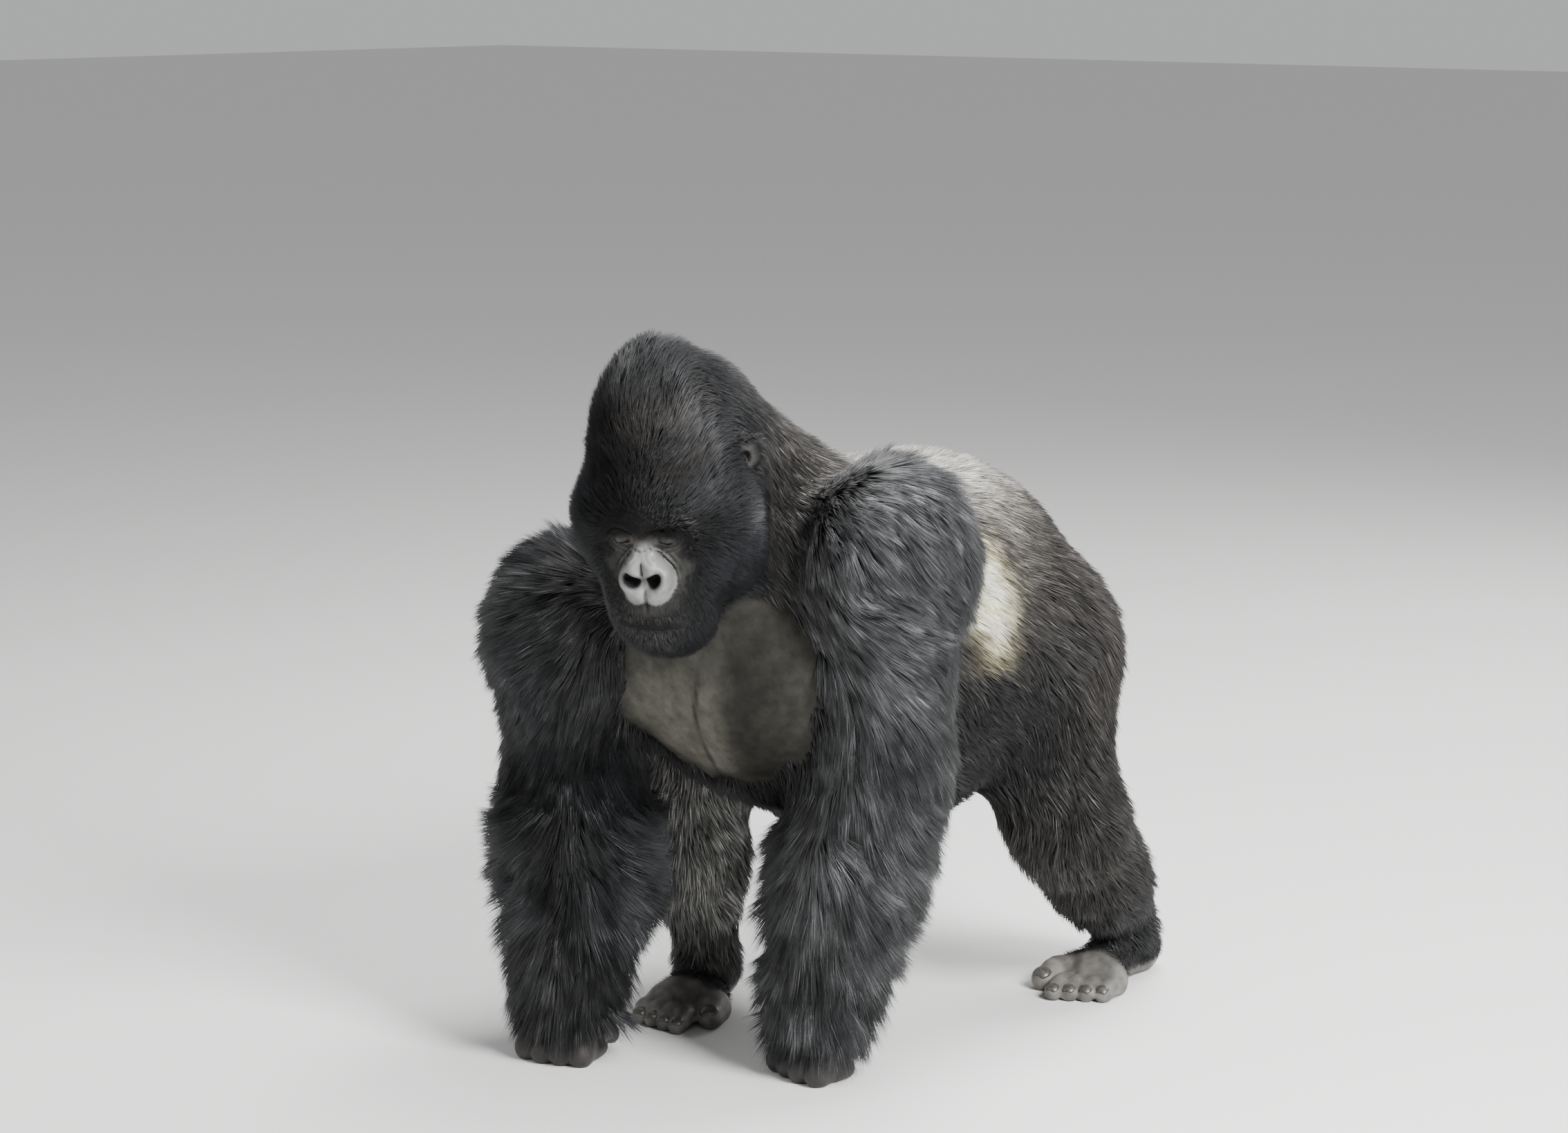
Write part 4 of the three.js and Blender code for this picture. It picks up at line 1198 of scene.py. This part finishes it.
def makeNails(paint):
    places, turns, sizes = zip(*nailSpots())
    mesh = bpy.data.meshes.new("nails")
    mesh.from_pydata([tuple(place) for place in places], [], [])
    perPoint(mesh, "nailTurn", "FLOAT_VECTOR", turns)
    perPoint(mesh, "nailRadius", "FLOAT", sizes)
    piece = addObject("nails", mesh)
    plate = nailPlate()

    tree = bpy.data.node_groups.new("nailsOnToes", "GeometryNodeTree")
    _, plateSocket, fitSocket = (
        tree.interface.new_socket(name, in_out="INPUT", socket_type="NodeSocket" + kind)
        for name, kind in (("Toe Ends", "Geometry"), ("Plate", "Object"), ("Fit", "Float")))
    tree.interface.new_socket("Nails", in_out="OUTPUT", socket_type="NodeSocketGeometry")
    given = tree.nodes.new("NodeGroupInput").outputs
    shape = node(tree, "GeometryNodeObjectInfo", Object=given["Plate"])
    turn = node(tree, "GeometryNodeInputNamedAttribute", {"data_type": "FLOAT_VECTOR"}, Name="nailTurn")
    size = node(tree, "GeometryNodeInputNamedAttribute", {"data_type": "FLOAT"}, Name="nailRadius")
    fit = node(tree, "ShaderNodeMath", {"operation": "MULTIPLY"}, Value=size.outputs["Attribute"])
    tree.links.new(given["Fit"], fit.inputs[1])
    placed = node(tree, "GeometryNodeInstanceOnPoints", Points=given["Toe Ends"], Scale=fit.outputs[0],
                  Instance=shape.outputs["Geometry"], Rotation=turn.outputs["Attribute"])
    real = node(tree, "GeometryNodeRealizeInstances", Geometry=placed.outputs["Instances"])
    finish = node(tree, "GeometryNodeSetMaterial", Geometry=real.outputs["Geometry"], Material=paint)
    node(tree, "NodeGroupOutput", Nails=finish.outputs["Geometry"])

    maker = piece.modifiers.new("nailsOnToes", "NODES")
    maker.node_group = tree
    maker[plateSocket.identifier] = plate
    maker[fitSocket.identifier] = 1.0
    seen = piece.evaluated_get(bpy.context.evaluated_depsgraph_get())
    made = bpy.data.meshes.new_from_object(seen)
    piece.modifiers.remove(maker)
    made.materials.clear()
    made.materials.append(paint)
    piece.data = made
    bpy.data.objects.remove(plate)
    print("nails set:", len(made.polygons), "faces")
    return piece


# ---- finishes ----

def newFinish(name):
    paint = bpy.data.materials.new(name)
    paint.use_nodes = True
    return paint, paint.node_tree, paint.node_tree.nodes["Principled BSDF"]


def onObject(tree):
    return node(tree, "ShaderNodeTexCoord").outputs["Object"]


def remap(tree, value, low, high, toLow, toHigh):
    return node(tree, "ShaderNodeMapRange", Value=value, From_Min=low, From_Max=high, To_Min=toLow,
                To_Max=toHigh).outputs["Result"]


def mottled(tree, tone, place, scale, detail, roughness, darkest, lightest):  # the tone, a little uneven
    mottle = node(tree, "ShaderNodeTexNoise", Vector=place, Scale=scale, Detail=detail, Roughness=roughness)
    lighter = remap(tree, mottle.outputs["Fac"], 0.3, 0.7, darkest, lightest)
    return node(tree, "ShaderNodeVectorMath", {"operation": "SCALE"}, Vector=tone,
                Scale=lighter).outputs["Vector"]


def ramp(tree, value, *stops):
    made = node(tree, "ShaderNodeValToRGB", Fac=value)
    elements = made.color_ramp.elements
    elements[0].position, elements[1].position = stops[0][0], stops[-1][0]
    for position, _ in stops[1:-1]:
        elements.new(position)
    for element, (_, colour) in zip(elements, stops):
        element.color = (*colour, 1)
    return made.outputs["Color"]


def skinFinish():
    paint, tree, shader = newFinish("gorillaSkin")
    place = onObject(tree)
    tone = node(tree, "ShaderNodeAttribute", {"attribute_name": "skinTone"}).outputs
    creases = node(tree, "ShaderNodeTexVoronoi", {"feature": "DISTANCE_TO_EDGE"}, Vector=place, Scale=620.0)
    folds = node(tree, "ShaderNodeTexNoise", Vector=place, Scale=140.0, Detail=6.0, Roughness=0.65)
    grain = remap(tree, creases.outputs["Distance"], 0.0, 0.12, 0.0, 1.0)
    coarse = node(tree, "ShaderNodeBump", Height=folds.outputs["Fac"], Strength=0.34, Distance=0.0011)
    fine = node(tree, "ShaderNodeBump", Height=grain, Strength=0.22, Distance=0.0006,
                Normal=coarse.outputs["Normal"])
    feed(tree, shader, Base_Color=mottled(tree, tone["Color"], place, 55.0, 5.0, 0.6, 0.72, 1.28),
               Roughness=remap(tree, tone["Alpha"], 0.0, 1.0, 0.52, 0.34),
               Specular_IOR_Level=remap(tree, tone["Alpha"], 0.0, 1.0, 0.03, 0.42),
               Normal=fine.outputs["Normal"])
    return paint


hairFinishes = {  # name, sheen weight, roughness
    "black_hair": ("blackHair", 0.02, 0.38), "saddle_hair": ("saddleHair", 0.01, 0.6),
    "brown_hair": ("brownHair", 0.012, 0.48),
}


def hairFinish(name, sheen, roughness):
    paint, tree, shader = newFinish(name)
    tone = node(tree, "ShaderNodeAttribute", {"attribute_name": "coatTone"}).outputs["Color"]
    feed(tree, shader, Base_Color=mottled(tree, tone, onObject(tree), 28.0, 3.0, 0.5, 0.78, 1.25),
               Roughness=roughness, Specular_IOR_Level=0.22, Sheen_Weight=sheen, Sheen_Roughness=0.45,
               Sheen_Tint=(0.8, 0.88, 1.0, 1))
    return paint


def eyeFinish():
    paint, tree, shader = newFinish("gorillaEye")
    ring = node(tree, "ShaderNodeAttribute", {"attribute_name": "fromPupil"}).outputs["Fac"]
    tone = ramp(tree, ring, (0.0, (0.002, 0.002, 0.002)), (0.16, (0.002, 0.002, 0.002)),
                (0.2, (0.03, 0.012, 0.005)), (0.4, (0.07, 0.03, 0.012)), (0.5, (0.01, 0.005, 0.003)),
                (0.58, (0.045, 0.028, 0.018)), (1.0, (0.02, 0.012, 0.008)))
    feed(tree, shader, Base_Color=tone, Roughness=0.06, Coat_Weight=1.0, Coat_Roughness=0.03)
    return paint


def nailFinish():
    paint, tree, shader = newFinish("gorillaNail")
    lines = node(tree, "ShaderNodeTexNoise", Vector=onObject(tree), Scale=260.0, Detail=3.0).outputs["Fac"]
    tone = ramp(tree, lines, (0.3, (0.03, 0.027, 0.024)), (0.7, (0.085, 0.078, 0.068)))
    feed(tree, shader, Base_Color=tone, Roughness=0.34)
    return paint


skinPiece.data.materials.append(skinFinish())
nailPiece = makeNails(nailFinish())
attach(nailPiece, "root")
allNodes = [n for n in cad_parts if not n.startswith("eye_")]
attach(skinPiece, "root")
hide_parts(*allNodes)
finishes = {slot: hairFinish(*v) for slot, v in hairFinishes.items()}
for name, (piece, slot) in coatPieces.items():
    piece.data.materials.append(finishes[slot])
    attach(piece, "root")
eyeLook = eyeFinish()
for name, s in (("eyeballLeft", 1), ("eyeballRight", -1)):
    ball = makeEye(name, s)
    ball.data.materials.append(eyeLook)
    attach(ball, "root")
    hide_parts("eye_left" if s == 1 else "eye_right")
print("finishes on")
